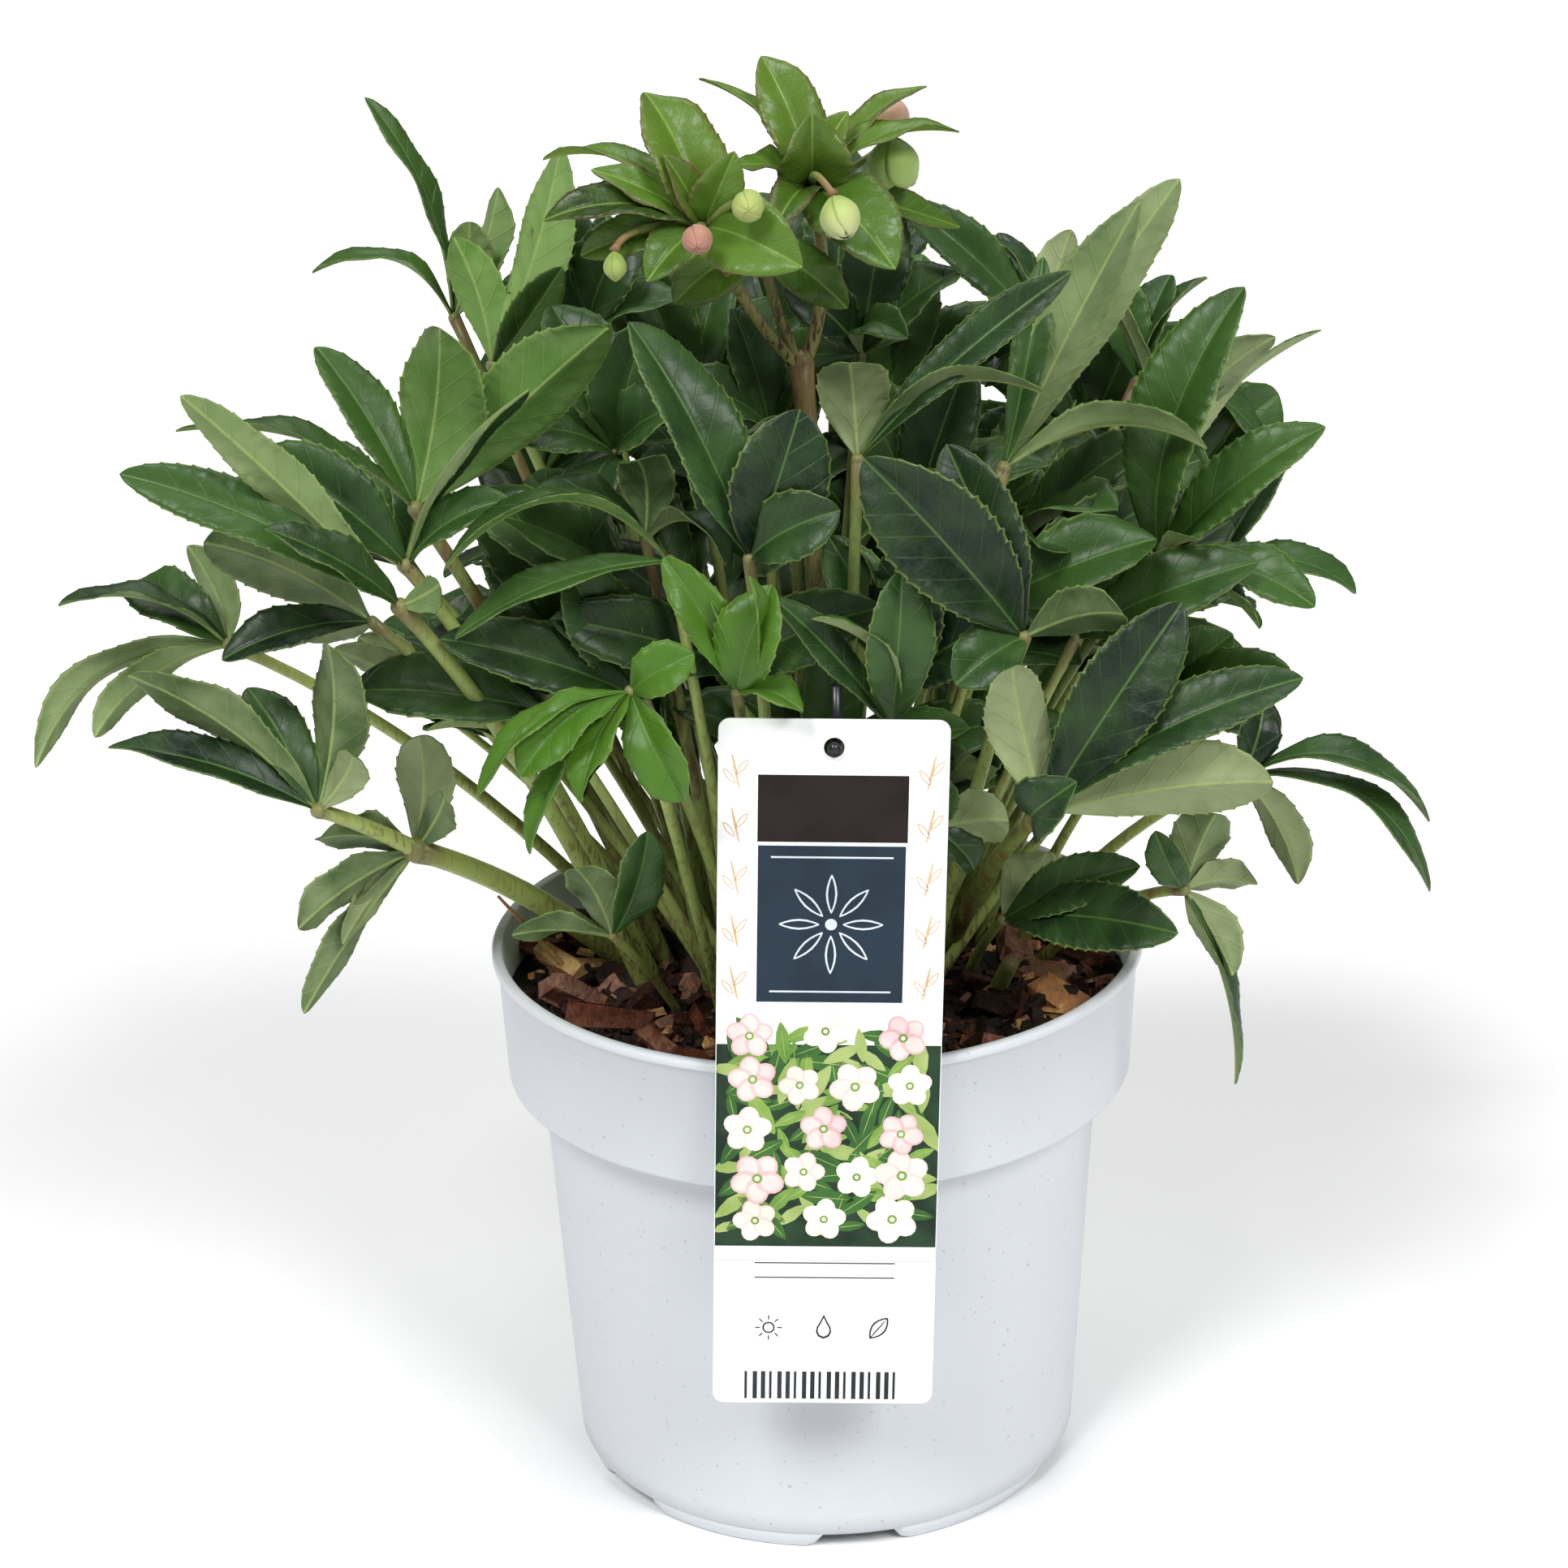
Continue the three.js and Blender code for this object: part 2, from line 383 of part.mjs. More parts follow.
/** Twelve-faced knot at a fork, from whose four-cornered faces the stalk and the blades grow. */
class Knot {
  constructor(centre, size) {
    this.centre = vec(centre);
    this.faces = [];
    for (const [i, j] of [[0, 1], [1, 2], [2, 0]]) {
      for (const [a, b] of [[1, 1], [1, -1], [-1, 1], [-1, -1]]) {
        const corners = [[2 * a, 0, 0], [a, b, 1], [0, 2 * b, 0], [a, b, -1]].map((local) => {
          const corner = new THREE.Vector3();
          [i, j, 3 - i - j].forEach((axis, k) => corner.setComponent(axis, local[k] * size));
          return corner.add(this.centre);
        });
        const normal = corners[0].clone().add(corners[2]).multiplyScalar(0.5).sub(this.centre).normalize();
        const turnedOut = corners[1].clone().sub(corners[0]).cross(corners[2].clone().sub(corners[1]));
        if (turnedOut.dot(normal) < 0) corners.reverse();
        this.faces.push({ corners, normal, free: true });
      }
    }
  }

  /** Solid that closes the knot itself. */
  body() {
    const points = this.faces.flatMap(({ corners: [a, b, c, d] }) => [a, b, c, a, c, d]);
    return toSolid(new THREE.BufferGeometry().setFromPoints(points));
  }

  /** Solid through the rings, grown from the free face that looks most toward them. */
  limb(rings) {
    const heading = rings[0].reduce((sum, point) => sum.add(point), new THREE.Vector3())
      .multiplyScalar(1 / rings[0].length).sub(this.centre).normalize();
    const face = this.faces.filter(({ free }) => free)
      .reduce((best, other) => (other.normal.dot(heading) > best.normal.dot(heading) ? other : best));
    if (face.normal.dot(heading) < KNOT.leastFacing) {
      const inside = rings[0].map((point) => this.centre.clone().lerp(point, KNOT.rootShare));
      return toSolid(skin([inside, ...rings]));
    }
    face.free = false;
    const shifted = (shift) => rings[0].map((_, j) => face.corners[(j + shift) % 4]);
    const reach = (shift) => shifted(shift).reduce((sum, corner, j) => sum + corner.distanceTo(rings[0][j]), 0);
    const best = [0, 1, 2, 3].reduce((a, b) => (reach(b) < reach(a) ? b : a));
    return toSolid(skin([shifted(best), ...rings], best % 2));
  }
}

/** Curve of a leaf stalk from its foot to the fork, bowed upward. */
function stalkCurve([x, y, , bow, start = SOIL_TOP - STEM_DEPTH], fork) {
  const through = [(x + fork[0]) / 2, (y + fork[1]) / 2, (start + fork[2]) / 2 + 2 * bow];
  return bend([x, y, start], through, fork);
}

/** Stalk with its knot and blades as one solid. */
function spray(curve, radius, fork, rows) {
  const knot = new Knot(fork, Math.max(KNOT.least, KNOT.byRadius * radius));
  const corner = STALK.square * radius;
  const stalk = tubeRings(curve, corner, corner * STALK.taper, STALK.steps, STALK.sides);
  const limbs = [knot.limb(stalk.slice(0, -1).reverse().map((ring) => [ring[0], ring[3], ring[2], ring[1]]))];
  const widestFirst = [...rows].sort((a, b) => b[3] - a[3]);
  for (const [x, y, z, width, turn, arch] of widestFirst) {
    limbs.push(knot.limb(bladeRings(vec(fork), new THREE.Vector3(x, y, z), width, turn, arch)));
  }
  return join([knot.body(), ...limbs]);
}

/** Bud or bell of five overlapping sepals, from its base to its tip. */
function flower(base, tip, diameter, lobe) {
  const axis = tip.clone().sub(base);
  const along = axis.clone().normalize();
  const across = new THREE.Vector3(1, 0, 0).cross(along).normalize();
  const other = along.clone().cross(across);
  return skin(BUD_RINGS.map(([u, share]) => Array.from({ length: BUD_SIDES }, (_, j) => {
    const radius = 0.5 * diameter * share * (1 + lobe * (j % 2 ? -1 : 1));
    const angle = (2 * Math.PI * j) / BUD_SIDES;
    return base.clone().addScaledVector(axis, u).addScaledVector(across, radius * Math.cos(angle))
      .addScaledVector(other, radius * Math.sin(angle));
  })));
}

// ---- Pot and soil --------------------------------------------------------------------------------
const FOOT_RADIUS = BASE_RADIUS - FOOT_INSET;
const FLOOR_TOP = FLOOR_HEIGHT + FLOOR_THICKNESS;
const COLLAR_INSIDE = RIM_RADIUS - LIP_DEPTH - WALL; // inside of the collar just below the lip

/** Inside of the pot as [radius, height], from the floor to the rim. */
const INSIDE = [
  [BASE_RADIUS - WALL + FLOOR_CORNER, FLOOR_TOP], [WALL_RADIUS - WALL, STEP_HEIGHT + WALL],
  [STEP_RADIUS - WALL, STEP_HEIGHT + WALL], [COLLAR_INSIDE, POT_HEIGHT],
];

function pot() {
  const outside = [
    [FOOT_RADIUS, 0], [BASE_RADIUS, FOOT_HEIGHT], [WALL_RADIUS, STEP_HEIGHT], [STEP_RADIUS, STEP_HEIGHT],
    [RIM_RADIUS - LIP_DEPTH, POT_HEIGHT - LIP_HEIGHT], [RIM_RADIUS, POT_HEIGHT - LIP_HEIGHT],
    [RIM_RADIUS, POT_HEIGHT],
  ];
  const under = [[0, FLOOR_HEIGHT], [FOOT_RADIUS - FOOT_WIDTH, FLOOR_HEIGHT], [FOOT_RADIUS - FOOT_WIDTH, 0]];
  let solid = toSolid(turned([...under, ...outside, ...[...INSIDE].reverse(), [0, FLOOR_TOP]], POT_SIDES));
  for (let k = 0; k < NOTCH.count; k += 1) {
    const corners = [[-NOTCH.bottom, -2 * NOTCH.below], [NOTCH.bottom, -2 * NOTCH.below],
      [NOTCH.top, 2 * NOTCH.height], [-NOTCH.top, 2 * NOTCH.height]];
    const trapezoid = new THREE.Shape(corners.map(([x, y]) => new THREE.Vector2(x / 2, y / 2)));
    const cutter = new THREE.ExtrudeGeometry(trapezoid, { depth: NOTCH.depth, bevelEnabled: false });
    cutter.rotateX(Math.PI / 2).rotateZ(Math.PI).translate(0, FOOT_RADIUS - NOTCH.inward, 0);
    cutter.rotateZ(degrees(NOTCH.first + (360 / NOTCH.count) * k - 90));
    solid = solid.subtract(toSolid(cutter));
  }
  for (let k = 0; k < DRAIN.count; k += 1) {
    const angle = (2 * Math.PI * k) / DRAIN.count;
    const drill = new THREE.CylinderGeometry(DRAIN.radius, DRAIN.radius, 3 * FLOOR_THICKNESS, DRAIN.sides);
    drill.rotateX(Math.PI / 2);
    drill.translate(DRAIN.ring * Math.cos(angle), DRAIN.ring * Math.sin(angle), FLOOR_TOP);
    solid = solid.subtract(toSolid(drill));
  }
  return solid;
}

/** Repeatable random numbers from 0 to 1. */
function dice(seed) {
  let state = seed;
  return () => {
    state = (state * 16807) % 2147483647;
    return state / 2147483647;
  };
}

/** Filled soil with bark chips on it, holes for the stems and clear ground at `kept` points. */
function soil(holes, kept) {
  const [[floorRadius, floor], [neckRadius, neck], [ledgeRadius, ledge], [mouthRadius, mouth]] = INSIDE;
  const atTop = ledgeRadius + ((mouthRadius - ledgeRadius) * (SOIL_TOP - ledge)) / (mouth - ledge);
  const profile = [
    [0, floor + GAP], [floorRadius - GAP, floor + GAP], [neckRadius - GAP, neck + GAP],
    [ledgeRadius - GAP, ledge + GAP], [atTop - GAP, SOIL_TOP], [0, SOIL_TOP],
  ];
  let solid = toSolid(turned(profile, POT_SIDES));
  const roll = dice(CHIP.seed);
  for (let placed = 0; placed < CHIP.count;) {
    const distance = CHIP.inner + (CHIP.outer - CHIP.inner) * Math.sqrt(roll());
    const angle = 2 * Math.PI * roll();
    const length = CHIP.short + (CHIP.long - CHIP.short) * roll();
    const width = length * (CHIP_WIDTH.least + CHIP_WIDTH.spread * roll());
    const chip = new THREE.BoxGeometry(length, width, CHIP.height);
    chip.rotateY(CHIP_TILT * (roll() - 0.5)).rotateX(CHIP_TILT * (roll() - 0.5)).rotateZ(Math.PI * roll());
    const centre = new THREE.Vector3(distance * Math.cos(angle), distance * Math.sin(angle), 0)
      .setZ(SOIL_TOP + CHIP.lift);
    chip.translate(...centre);
    const clear = kept.every(([point, radius]) => point.distanceTo(centre) > radius + CHIP_REACH * length);
    if (clear) {
      solid = solid.add(toSolid(chip));
      placed += 1;
    }
  }
  return holes.reduce((rest, hole) => rest.subtract(hole), solid);
}

// ---- Label and stake -----------------------------------------------------------------------------
function label() {
  const top = vec(LABEL_TOP);
  const foot = vec(LABEL_FOOT);
  const up = top.clone().sub(foot).normalize();
  const front = new THREE.Vector3(0, -1, 0).addScaledVector(up, up.y).normalize();
  const across = up.clone().cross(front);
  const half = LABEL.width / 2;
  const height = top.distanceTo(foot);
  const card = new THREE.Shape();
  const corners = [[half, 0, 0], [half, height, 90], [-half, height, 180], [-half, 0, 270]];
  for (const [x, y, start] of corners) {
    const centreX = x - Math.sign(x) * LABEL.corner;
    const centreY = y ? y - LABEL.corner : LABEL.corner;
    card.absarc(centreX, centreY, LABEL.corner, degrees(start - 90), degrees(start), false);
  }
  card.closePath();
  const hole = new THREE.Path().absarc(0, height - LABEL.holeDown, LABEL.hole, 0, 2 * Math.PI, true);
  card.holes.push(hole);
  const extrusion = { depth: LABEL.thickness, bevelEnabled: false, curveSegments: 3 };
  const geometry = new THREE.ExtrudeGeometry(card, extrusion);
  geometry.translate(0, 0, -LABEL.thickness / 2);
  return geometry.applyMatrix4(new THREE.Matrix4().makeBasis(across, up, front).setPosition(foot));
}

function stake() {
  const head = vec(STAKE_HEAD);
  const rod = new THREE.LineCurve3(vec(STAKE_FOOT), head);
  const top = vec(LABEL_TOP);
  const hole = top.clone().lerp(vec(LABEL_FOOT), LABEL.holeDown / top.distanceTo(vec(LABEL_FOOT)));
  const back = new THREE.Vector3(hole.x, head.y, hole.z);
  const tip = back.clone().add(new THREE.Vector3(0, -PIN.reach, 0));
  const pin = new THREE.CylinderGeometry(PIN.radius, PIN.radius, PIN.reach, PIN.sides);
  pin.translate(hole.x, (back.y + tip.y) / 2, hole.z);
  const shaft = tube(rod, STAKE.radius * STAKE.taper, STAKE.radius, STAKE.steps, STAKE.sides);
  return join([toSolid(shaft), toSolid(pin)]);
}

// ---- Scene ---------------------------------------------------------------------------------------
const plant = new THREE.Group();

function addMesh(name, geometry, [color, roughness]) {
  const mesh = new THREE.Mesh(geometry, new THREE.MeshStandardMaterial({ color, roughness, metalness: 0 }));
  mesh.name = name;
  plant.add(mesh);
}

const holes = [];
const kept = []; // [point, radius] where a chip would touch a stem

/** Notes the hole that a stem needs and the ground that it keeps clear. */
function plantStem(curve, radius, { steps, sides }) {
  const wide = radius + GAP / Math.cos(Math.PI / sides);
  const [foot, next] = tubeRings(curve, wide, wide, steps, sides);
  const lead = curve.getTangent(0).multiplyScalar(-GAP);
  holes.push(toSolid(skin([foot.map((point) => point.add(lead)), next])));
  const low = curve.getPoints(KEPT.points).filter((point) => point.z < SOIL_TOP + KEPT.above);
  kept.push(...low.map((point) => [point, radius + KEPT.margin]));
}

const leaves = new Map();
for (const row of LEAVES) {
  const [name, stalk, fork, rows] = row;
  const curve = stalkCurve(stalk, fork);
  const solid = spray(curve, stalk[2] / 2, fork, rows);
  leaves.set(name, leaves.has(name) ? join([leaves.get(name), solid]) : solid);
  if (stalk.length < 5) plantStem(curve, (STALK.square * stalk[2]) / 2, STALK);
}
for (const [name, solid] of leaves) addMesh(name, toGeometry(solid), FINISH.leaf);

const [[trunkFrom, trunkThrough, trunkTo, trunkDiameter], ...twigs] = BRANCHES;
const trunk = bend(trunkFrom, trunkThrough, trunkTo);
const trunkRadius = trunkDiameter / 2;
const stem = [toSolid(tube(trunk, trunkRadius, TRUNK.taper * trunkRadius, TRUNK.steps, TRUNK.sides))];
plantStem(trunk, trunkRadius, TRUNK);
twigs.forEach(([from, through, to, diameter], k) => {
  stem.push(spray(bend(from, through, to), diameter / 2, to, ROSETTES[k]));
});
FLOWERS.forEach(([name, from, through, base, tip, diameter, lobe], k) => {
  const pedicel = tube(bend(from, through, base), PEDICEL.foot, PEDICEL.head, PEDICEL.steps, PEDICEL.sides);
  stem.push(toSolid(pedicel));
  const start = vec(base).add(vec(tip).sub(vec(base)).normalize().multiplyScalar(GAP));
  addMesh(name, flower(start, vec(tip), diameter, lobe), [FLOWER_COLORS[k], FLOWER_ROUGHNESS]);
});
addMesh('flower_stem', toGeometry(join(stem)), FINISH.stem);

for (const [name, from, to, thick, thin, color] of PIECES) {
  const curve = new THREE.LineCurve3(vec(from), vec(to));
  addMesh(name, tube(curve, thick / 2, thin / 2, LOOSE.steps, LOOSE.sides), [color, LOOSE_ROUGHNESS]);
  plantStem(curve, thick / 2, LOOSE);
}

addMesh('label', label(), FINISH.label);
addMesh('stake', toGeometry(stake()), FINISH.stake);
plantStem(new THREE.LineCurve3(vec(STAKE_FOOT), vec(STAKE_HEAD)), STAKE.radius, STAKE);
addMesh('pot', toGeometry(pot()), FINISH.pot);
addMesh('soil', toGeometry(soil(holes, kept)), FINISH.soil);

const footprint = new THREE.Box3().setFromObject(plant, true).getCenter(new THREE.Vector3());
plant.position.set(-footprint.x, -footprint.y, 0);

export default plant;
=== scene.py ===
"""Hellebore in its nursery pot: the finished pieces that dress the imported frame.

Lengths inside the classes are millimetres round the pot's axis; each finished mesh is brought to metres
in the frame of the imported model.
"""

from __future__ import annotations

import logging
import math
import random
from collections.abc import Callable, Iterable
from dataclasses import dataclass, field
from enum import Enum

import bmesh
import bpy
from bmesh.types import BMEdge, BMesh, BMFace, BMVert
from mathutils import Matrix, Quaternion, Vector

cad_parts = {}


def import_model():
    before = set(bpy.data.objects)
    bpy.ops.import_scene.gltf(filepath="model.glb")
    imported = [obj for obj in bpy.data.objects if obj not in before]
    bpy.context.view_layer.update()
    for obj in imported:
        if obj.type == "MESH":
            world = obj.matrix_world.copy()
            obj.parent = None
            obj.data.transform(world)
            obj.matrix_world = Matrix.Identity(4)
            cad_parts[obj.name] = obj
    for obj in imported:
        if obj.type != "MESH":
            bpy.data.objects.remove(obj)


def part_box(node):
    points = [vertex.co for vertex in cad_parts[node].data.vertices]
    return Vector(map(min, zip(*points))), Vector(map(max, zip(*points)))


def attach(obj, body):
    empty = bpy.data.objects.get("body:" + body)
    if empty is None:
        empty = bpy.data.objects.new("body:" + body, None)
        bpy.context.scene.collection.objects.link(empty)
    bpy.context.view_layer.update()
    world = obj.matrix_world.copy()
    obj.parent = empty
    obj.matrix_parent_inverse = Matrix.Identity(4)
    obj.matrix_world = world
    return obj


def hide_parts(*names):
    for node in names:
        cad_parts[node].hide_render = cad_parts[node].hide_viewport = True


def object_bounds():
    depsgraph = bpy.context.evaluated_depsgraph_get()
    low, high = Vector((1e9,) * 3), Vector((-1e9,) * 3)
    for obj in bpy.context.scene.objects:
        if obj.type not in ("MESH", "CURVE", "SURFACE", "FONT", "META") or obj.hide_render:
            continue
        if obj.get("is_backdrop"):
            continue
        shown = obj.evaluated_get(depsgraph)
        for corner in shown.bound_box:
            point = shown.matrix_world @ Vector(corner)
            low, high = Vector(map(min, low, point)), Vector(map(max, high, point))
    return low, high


LOG = logging.getLogger("hellebore")
MM = 0.001
FULL_TURN = 6.283  # radians
FRONT = Vector((0.0, -0.94, 0.35))  # the side that faces a viewer a little above

# Camera: place from the pot's axis in millimetres, tilt down and roll in degrees.
CAMERA_PLACE = Vector((-8.5, -898.0, 544.8))
CAMERA_TILT = 20.51
CAMERA_ROLL = -1.41
FOCAL_PIXELS = 4100.0
IMAGE_PIXELS = 1932.0
SENSOR = 36.0

# Leaves: name, stalk (foot x, foot y, diameter, bow, start height where it isn't the soil), fork (x, y, z)
# and blades (tip x, tip y, tip z, width, turn, arch). Turn is how many degrees the upper face is turned from
# the front about the midrib: 0 shows the upper face, 180 the underside.
LEAVES: tuple = (
    ("leaf_01", (-22, 30, 4, 8), (-88, 25, 328), (
        (-66, 30, 389, 22, 150, 4), (-66, 15, 358, 14, 20, 3), (-98, 35, 363, 16, 150, 4))),
    ("leaf_02", (-30, 38, 4, 8), (-100, 47, 337), (
        (-94, 47, 365, 15, 165, 3), (-86, 57, 373, 15, 160, 4), (-123, 55, 400, 12, 75, 6),
        (-140, 42, 352, 13, 60, 12))),
    ("leaf_03", (-40, 12, 5, 10), (-106, -30, 302), (
        (-96, -35, 353, 31, 165, 5), (-167, -45, 329, 16, 60, 10), (-133, -10, 343, 18, 30, 4),
        (-51, -35, 352, 26, 200, 6))),
    ("leaf_04", (-44, 4, 5, 10), (-107, -50, 292), (
        (-71, -58, 341, 14, 100, -6), (-78, -55, 311, 14, -40, 5), (-145, -50, 324, 22, 25, 6),
        (-136, -52, 318, 12, 150, 4))),
    ("leaf_05", (-46, -4, 5.5, 12), (-108, -64, 285), (
        (-158, -82, 348, 15, 150, 3), (-179, -64, 323, 18, 35, 8), (-139, -84, 313, 14, 30, 5),
        (-96, -74, 294, 10, 160, 1))),
    ("leaf_06", (-40, 20, 4, 10), (-118, -45, 275), (
        (-161, -50, 300, 26, 145, 6), (-157, -60, 270, 16, 35, 5), (-140, -30, 266, 12, 150, 3))),
    ("leaf_07", (-46, 36, 4.4, 12), (-162, -15, 260), (
        (-214, -40, 233, 14, 110, 14), (-198, -35, 240, 13, 120, 7), (-208, -20, 274, 13, 75, 8),
        (-193, 5, 272, 20, 25, 5), (-176, 10, 282, 16, 150, 4))),
    ("leaf_08", (-48, 22, 8, 6), (-111, -40, 207), (
        (-108, -40, 241, 18, 160, 4), (-135, -58, 218, 17, 145, 4), (-101, -50, 226, 12, 170, 3),
        (-142, -62, 193, 15, 130, 3), (-132, -50, 183, 11, 140, 3), (-144, -52, 163, 13, 120, 2))),
    ("leaf_08", (-111, -40, 5, 1, 207), (-134, -60, 227), (
        (-127, -68, 277, 21, 160, 6), (-180, -72, 271, 20, 140, 6), (-190, -58, 246, 18, 40, 6),
        (-154, -40, 256, 17, 25, 4), (-122, -72, 247, 12, 165, 3))),
    ("leaf_09", (-36, -16, 3, 3), (-57, -50, 184), (
        (-84, -62, 190, 14, 110, 2), (-66, -56, 207, 18, 150, 3), (-46, -52, 216, 16, 40, 3))),
    ("leaf_10", (-34, 36, 3, 6), (-108, 0, 235), (
        (-135, -5, 255, 13, 140, 3), (-129, 5, 255, 15, 150, 3), (-98, 10, 238, 11, -150, 2),
        (-92, 10, 258, 13, -160, 3))),
    ("leaf_11", (-20, -8, 3.6, 6), (-37, -58, 294), (
        (-95, -80, 299, 17, 70, 18), (-94, -72, 278, 16, 50, 6))),
    ("leaf_12", (-24, 0, 3.6, 6), (-44, -40, 295), (
        (-45, -48, 319, 17, 165, 6), (-73, -50, 311, 15, 60, 7), (-22, -62, 293, 15, -70, 9))),
    ("leaf_13", (-8, -14, 4, 6), (-16, -68, 297), (
        (-2, -72, 338, 28, 10, 4), (8, -80, 313, 20, -25, 4), (-46, -55, 358, 25, 20, 8))),
    ("leaf_14", (6, -14, 4, 4), (13, -50, 318), (
        (11, -58, 346, 21, 175, 5), (70, -45, 366, 14, -35, 4), (63, -64, 337, 14, -95, 12))),
    ("leaf_15", (22, 0, 4.4, 6), (52, -40, 312), (
        (88, -35, 382, 20, -170, 5), (100, -25, 386, 22, -160, 7), (64, -20, 365, 11, 10, 4),
        (104, -60, 321, 17, -110, 10))),
    ("leaf_16", (28, -14, 4.4, 6), (55, -72, 275), (
        (13, -84, 328, 30, 10, 4), (35, -68, 327, 22, 5, 4), (79, -92, 287, 18, -140, 4),
        (36, -86, 267, 19, 20, 3))),
    ("leaf_17", (36, 22, 5.6, 8), (59, -88, 232), (
        (50, -98, 276, 19, -175, 5), (117, -104, 245, 26, -145, 4), (66, -110, 249, 18, -20, 9),
        (95, -84, 288, 25, -10, 5), (126, -92, 269, 20, -45, 7))),
    ("leaf_18", (54, 26, 4, 10), (116, -50, 227), (
        (166, -62, 216, 18, -55, 14), (166, -66, 197, 13, -60, 14), (122, -46, 246, 13, 10, 4),
        (131, -60, 198, 15, -140, 5))),
    ("leaf_19", (58, 12, 4, 8), (100, -58, 197), (
        (108, -60, 220, 18, -170, 3), (113, -66, 174, 16, -150, 3), (115, -62, 139, 11, -60, 5),
        (91, -64, 217, 12, -20, 3), (120, -60, 199, 14, -140, 3))),
    ("leaf_20", (42, 10, 3.6, 3), (52, -36, 180), (
        (96, -84, 195, 22, -35, 5), (88, -62, 206, 17, -30, 4), (64, -40, 202, 16, -175, 3))),
    ("leaf_21", (30, -30, 3, 3), (31, -70, 221), (
        (51, -78, 226, 18, -150, 3), (33, -70, 237, 13, 0, 2), (42, -70, 209, 13, -40, 2))),
    ("leaf_22", (10, -34, 4, 4), (20, -74, 252), (
        (23, -82, 298, 20, 5, 4), (-1, -88, 287, 12, 80, 9), (-11, -84, 292, 12, 30, 3))),
    ("leaf_23", (-26, -22, 3.6, 6), (-47, -96, 271), (
        (-86, -112, 249, 13, 60, 8), (-75, -112, 254, 17, 40, 6), (-60, -116, 248, 15, 30, 4),
        (-74, -110, 232, 13, 60, 5), (-30, -100, 282, 15, -10, 4), (-34, -106, 244, 16, 10, 4))),
    ("leaf_24", (-12, -32, 3.6, 4), (-20, -84, 266), (
        (-10, -90, 297, 20, -10, 6), (-16, -98, 302, 9, 60, 5), (-26, -90, 293, 8, 60, 3),
        (-38, -86, 304, 14, 25, 4), (-3, -96, 264, 13, -40, 4))),
    ("leaf_25", (46, 28, 4, 8), (96, -24, 280), (
        (117, -30, 358, 26, -35, 16), (139, -34, 320, 20, -30, 7), (136, -44, 272, 18, -45, 6),
        (120, -52, 269, 14, -60, 4), (103, -50, 294, 10, -100, 2), (75, -10, 298, 15, 165, 3))),
    ("leaf_26", (36, 34, 3.6, 6), (100, 20, 289), (
        (82, 15, 350, 11, 95, 6), (134, 25, 331, 19, -125, 8), (151, 50, 327, 11, -95, 6),
        (130, 40, 324, 13, -150, 4))),
    ("leaf_27", (26, 40, 3.6, 6), (97, 50, 313), (
        (108, 60, 342, 16, -30, 4), (118, 55, 342, 15, -60, 5), (88, 60, 344, 17, 10, 4),
        (137, 60, 287, 17, -60, 8), (110, 84, 306, 16, 10, 5))),
    ("leaf_28", (14, 30, 3.6, 6), (69, 30, 330), (
        (28, 30, 371, 17, 25, 5), (44, 40, 360, 13, 60, 9), (77, 40, 360, 14, -150, 3),
        (91, 40, 332, 15, -60, 5), (56, 56, 316, 18, 10, 5))),
    ("leaf_29", (0, 28, 3.6, 4), (16, 22, 329), (
        (24, 34, 372, 22, 0, 4), (29, 5, 337, 14, -60, 8), (46, 26, 352, 20, -30, 5),
        (-6, 14, 352, 18, 30, 4), (22, 58, 330, 20, 10, 5), (-4, 52, 318, 18, 20, 5))),
    ("leaf_30", (-12, 22, 3.6, 4), (-10, 6, 312), (
        (-20, 12, 346, 20, 20, 3), (-36, -6, 328, 18, 40, 5), (-28, -14, 304, 18, 50, 4),
        (2, 12, 332, 13, -30, 3), (-12, 40, 318, 18, 10, 5))),
    ("leaf_31", (-30, 22, 4, 6), (-53, 0, 308), (
        (-70, 12, 348, 24, 20, 6), (-43, 2, 344, 23, -10, 5), (-84, -12, 318, 20, 40, 5),
        (-30, -14, 326, 22, -30, 5), (-60, -32, 292, 22, 30, 5), (-54, 34, 298, 18, 10, 5))),
    ("leaf_32", (-16, 40, 3.6, 6), (-62, 42, 332), (
        (-74, 47, 372, 22, 20, 5), (-46, 42, 366, 22, -20, 5), (-86, 38, 348, 18, 60, 5),
        (-30, 34, 342, 20, -40, 5),
        (-66, 72, 306, 20, 20, 5), (-40, 68, 306, 18, -20, 5), (-86, 62, 306, 16, 30, 5))),
    ("leaf_33", (-30, -8, 3.6, 6), (-48, -36, 254), (
        (-66, -54, 292, 24, 10, 4), (-58, -44, 284, 18, -10, 4), (-82, -44, 258, 20, 40, 4))),
    ("leaf_34", (-30, 12, 3.6, 6), (-72, 12, 254), (
        (-96, 14, 290, 23, 30, 5), (-66, 12, 298, 24, 0, 5), (-62, -12, 286, 20, -10, 4),
        (-104, 4, 252, 18, 50, 4))),
    ("leaf_35", (14, 14, 3.6, 6), (30, 10, 284), (
        (14, 16, 326, 24, 10, 5), (46, 12, 330, 24, -10, 5), (68, -2, 302, 22, -40, 4),
        (34, 42, 302, 20, -10, 5))),
    ("leaf_36", (24, 10, 3.6, 6), (84, 6, 254), (
        (66, 12, 298, 24, 10, 5), (104, 10, 298, 22, -20, 5), (124, -2, 268, 20, -40, 4),
        (56, -4, 262, 20, 30, 4))),
    ("leaf_37", (12, -6, 3.6, 4), (24, -26, 246), (
        (5, -16, 288, 20, 20, 4), (28, -34, 292, 24, 0, 4), (52, -40, 270, 22, -30, 4))),
    ("leaf_38", (58, 40, 3.6, 8), (98, 6, 224), (
